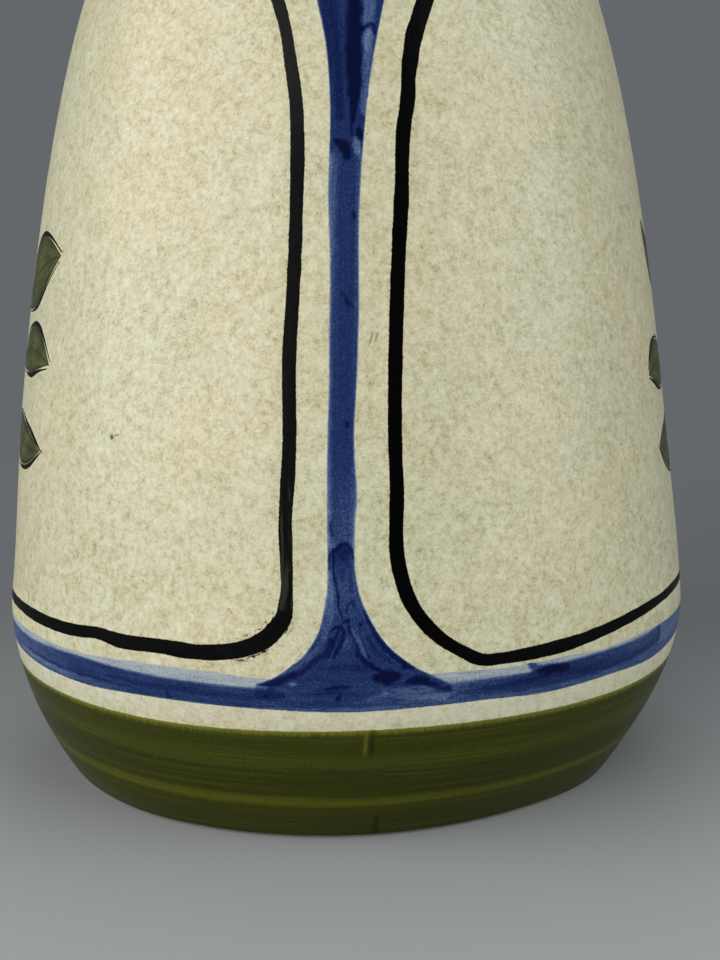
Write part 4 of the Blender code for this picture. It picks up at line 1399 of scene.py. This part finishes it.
def make_sprays(black):
    leaf_green = leaf_finish()
    petal_blue = blue_finish("blue petal colour", (2.5, 14.0, 1.0), (8.0, 34.0, 1.0))
    ochre = ochre_finish()
    clear = BLOSSOM_RADIUS + PETAL_GAP
    eye = ((-EYE_RADIUS, 0.0), 0.0, 2 * EYE_RADIUS, 2 * EYE_RADIUS, 0.0, round_swell)
    bud = ((0.0, clear + UPPER_STEM + PETAL_GAP), 90.0, BUD_LENGTH, BUD_WIDTH, 0.0, leaf_swell)
    for side, turn in (("left", -math.pi / 2), ("right", math.pi / 2)):
        piece = make_blade(f"{side}_eye", turn, *eye, eye_load)
        stands_for(piece, "ochre_colour", ochre, f"{side}_blossom_eye")
        for k in range(PETAL_COUNT):
            bearing = 90.0 + 360.0 / PETAL_COUNT * k
            petal = (spoke(bearing, PETAL_START), bearing, PETAL_LENGTH, PETAL_WIDTH, 0.0, round_swell)
            piece = make_blade(f"{side}_blue_petal_{k + 1}", turn, *petal, petal_load)
            stands_for(piece, "blue_colour", petal_blue, f"{side}_petal_{k + 1}")
        for k, (bearing, heading, length, width, bow) in enumerate(LEAVES):
            base = spoke(bearing, BLOSSOM_RADIUS + LEAF_GAP)
            leaf = (base, heading, length * LEAF_LENGTH, width * LEAF_WIDTH, bow * LEAF_BOW, leaf_swell)
            piece = make_blade(f"{side}_green_leaf_{k + 1}", turn, *leaf, leaf_load)
            stands_for(piece, "leaf_colour", leaf_green, f"{side}_leaf_{k + 1}")
            for which, *run in CONTOURS:
                piece = make_contour(f"{side}_leaf_{k + 1}_{which}_outline", turn, *leaf, *run)
                stands_for(piece, "black_colour", black)
        piece = make_stem(f"{side}_stem_above", turn, clear, UPPER_STEM)
        stands_for(piece, "leaf_colour", leaf_green, f"{side}_upper_stem")
        piece = make_stem(f"{side}_stem_below", turn, -clear, -LOWER_STEM)
        stands_for(piece, "leaf_colour", leaf_green, f"{side}_lower_stem")
        piece = make_blade(f"{side}_blue_bud", turn, *bud, bud_load)
        stands_for(piece, "blue_colour", petal_blue, f"{side}_bud")


# Studio
CAMERA_PLACE = (0.0, -0.2768, 0.0985)
CAMERA_PITCH = 6.57
CAMERA_YAW = 0.91
CAMERA_ROLL = 0.10
CAMERA_LENS = 37.5
CAMERA_SENSOR = 36.0
CAMERA_NEAR = 0.01
# Soft boxes: name, azimuth, elevation, distance, width, height, brightness and colour
LAMPS = (
    ("window soft box", -53.0, 23.0, 1.5, 2.3, 1.5, 2.5, (1.0, 0.988, 0.97)),
    ("side soft box", 61.0, 23.0, 1.5, 1.35, 1.5, 1.96, (0.965, 1.0, 0.98)),
    ("back soft box", 180.0, 22.0, 1.4, 1.1, 0.7, 1.5, (0.97, 0.99, 1.0)),
)
LAMP_AIM = (0.0, 0.0, 0.11)
AIR_COLOUR = (0.88, 0.935, 1.0, 1.0)
AIR_STRENGTH = 0.147


def make_floor():
    bpy.ops.object.select_all(action="DESELECT")
    bpy.ops.mesh.primitive_circle_add(vertices=128, radius=FLOOR_RADIUS, fill_type="NGON")
    floor = bpy.context.object
    floor.name = "studio_floor"
    floor.data.materials.append(floor_finish())


def make_lamp(name, azimuth, elevation, distance, width, height, brightness, colour):
    """A soft box aimed at the middle of the vase. Brightness 1 is that of a white card in plain light."""
    a = math.radians(azimuth)
    e = math.radians(elevation)
    away = np.array((math.sin(a) * math.cos(e), -math.cos(a) * math.cos(e), math.sin(e)))
    lamp = bpy.data.lights.new(name, "AREA")
    lamp.shape = "RECTANGLE"
    lamp.size = width
    lamp.size_y = height
    lamp.energy = math.pi * width * height * brightness
    lamp.color = colour
    holder = bpy.data.objects.new(name, lamp)
    bpy.context.scene.collection.objects.link(holder)
    holder.location = np.array(LAMP_AIM) + away * distance
    holder.rotation_euler = (math.radians(90.0 - elevation), 0.0, a)
    holder.visible_camera = False


def make_studio():
    make_floor()
    for lamp in LAMPS:
        make_lamp(*lamp)
    world = bpy.data.worlds.new("studio air")
    world.use_nodes = True
    air = world.node_tree.nodes["Background"]
    air.inputs["Color"].default_value = AIR_COLOUR
    air.inputs["Strength"].default_value = AIR_STRENGTH
    bpy.context.scene.world = world
    lens = bpy.data.cameras.new("photograph")
    lens.lens = CAMERA_LENS
    lens.sensor_width = CAMERA_SENSOR
    lens.clip_start = CAMERA_NEAR
    camera = bpy.data.objects.new("photograph", lens)
    bpy.context.scene.collection.objects.link(camera)
    camera.location = CAMERA_PLACE
    camera.rotation_mode = "XYZ"
    pitch = math.radians(90.0 - CAMERA_PITCH)
    camera.rotation_euler = (pitch, math.radians(CAMERA_ROLL), -math.radians(CAMERA_YAW))
    bpy.context.scene.camera = camera
    bpy.context.scene.view_settings.view_transform = "Standard"


make_clay_body()
make_glazes(glaze_finish())
make_green_bands()
make_columns()
make_blue_rings()
black_line = black_finish()
make_panel_lines(black_line)
make_sprays(black_line)
make_studio()
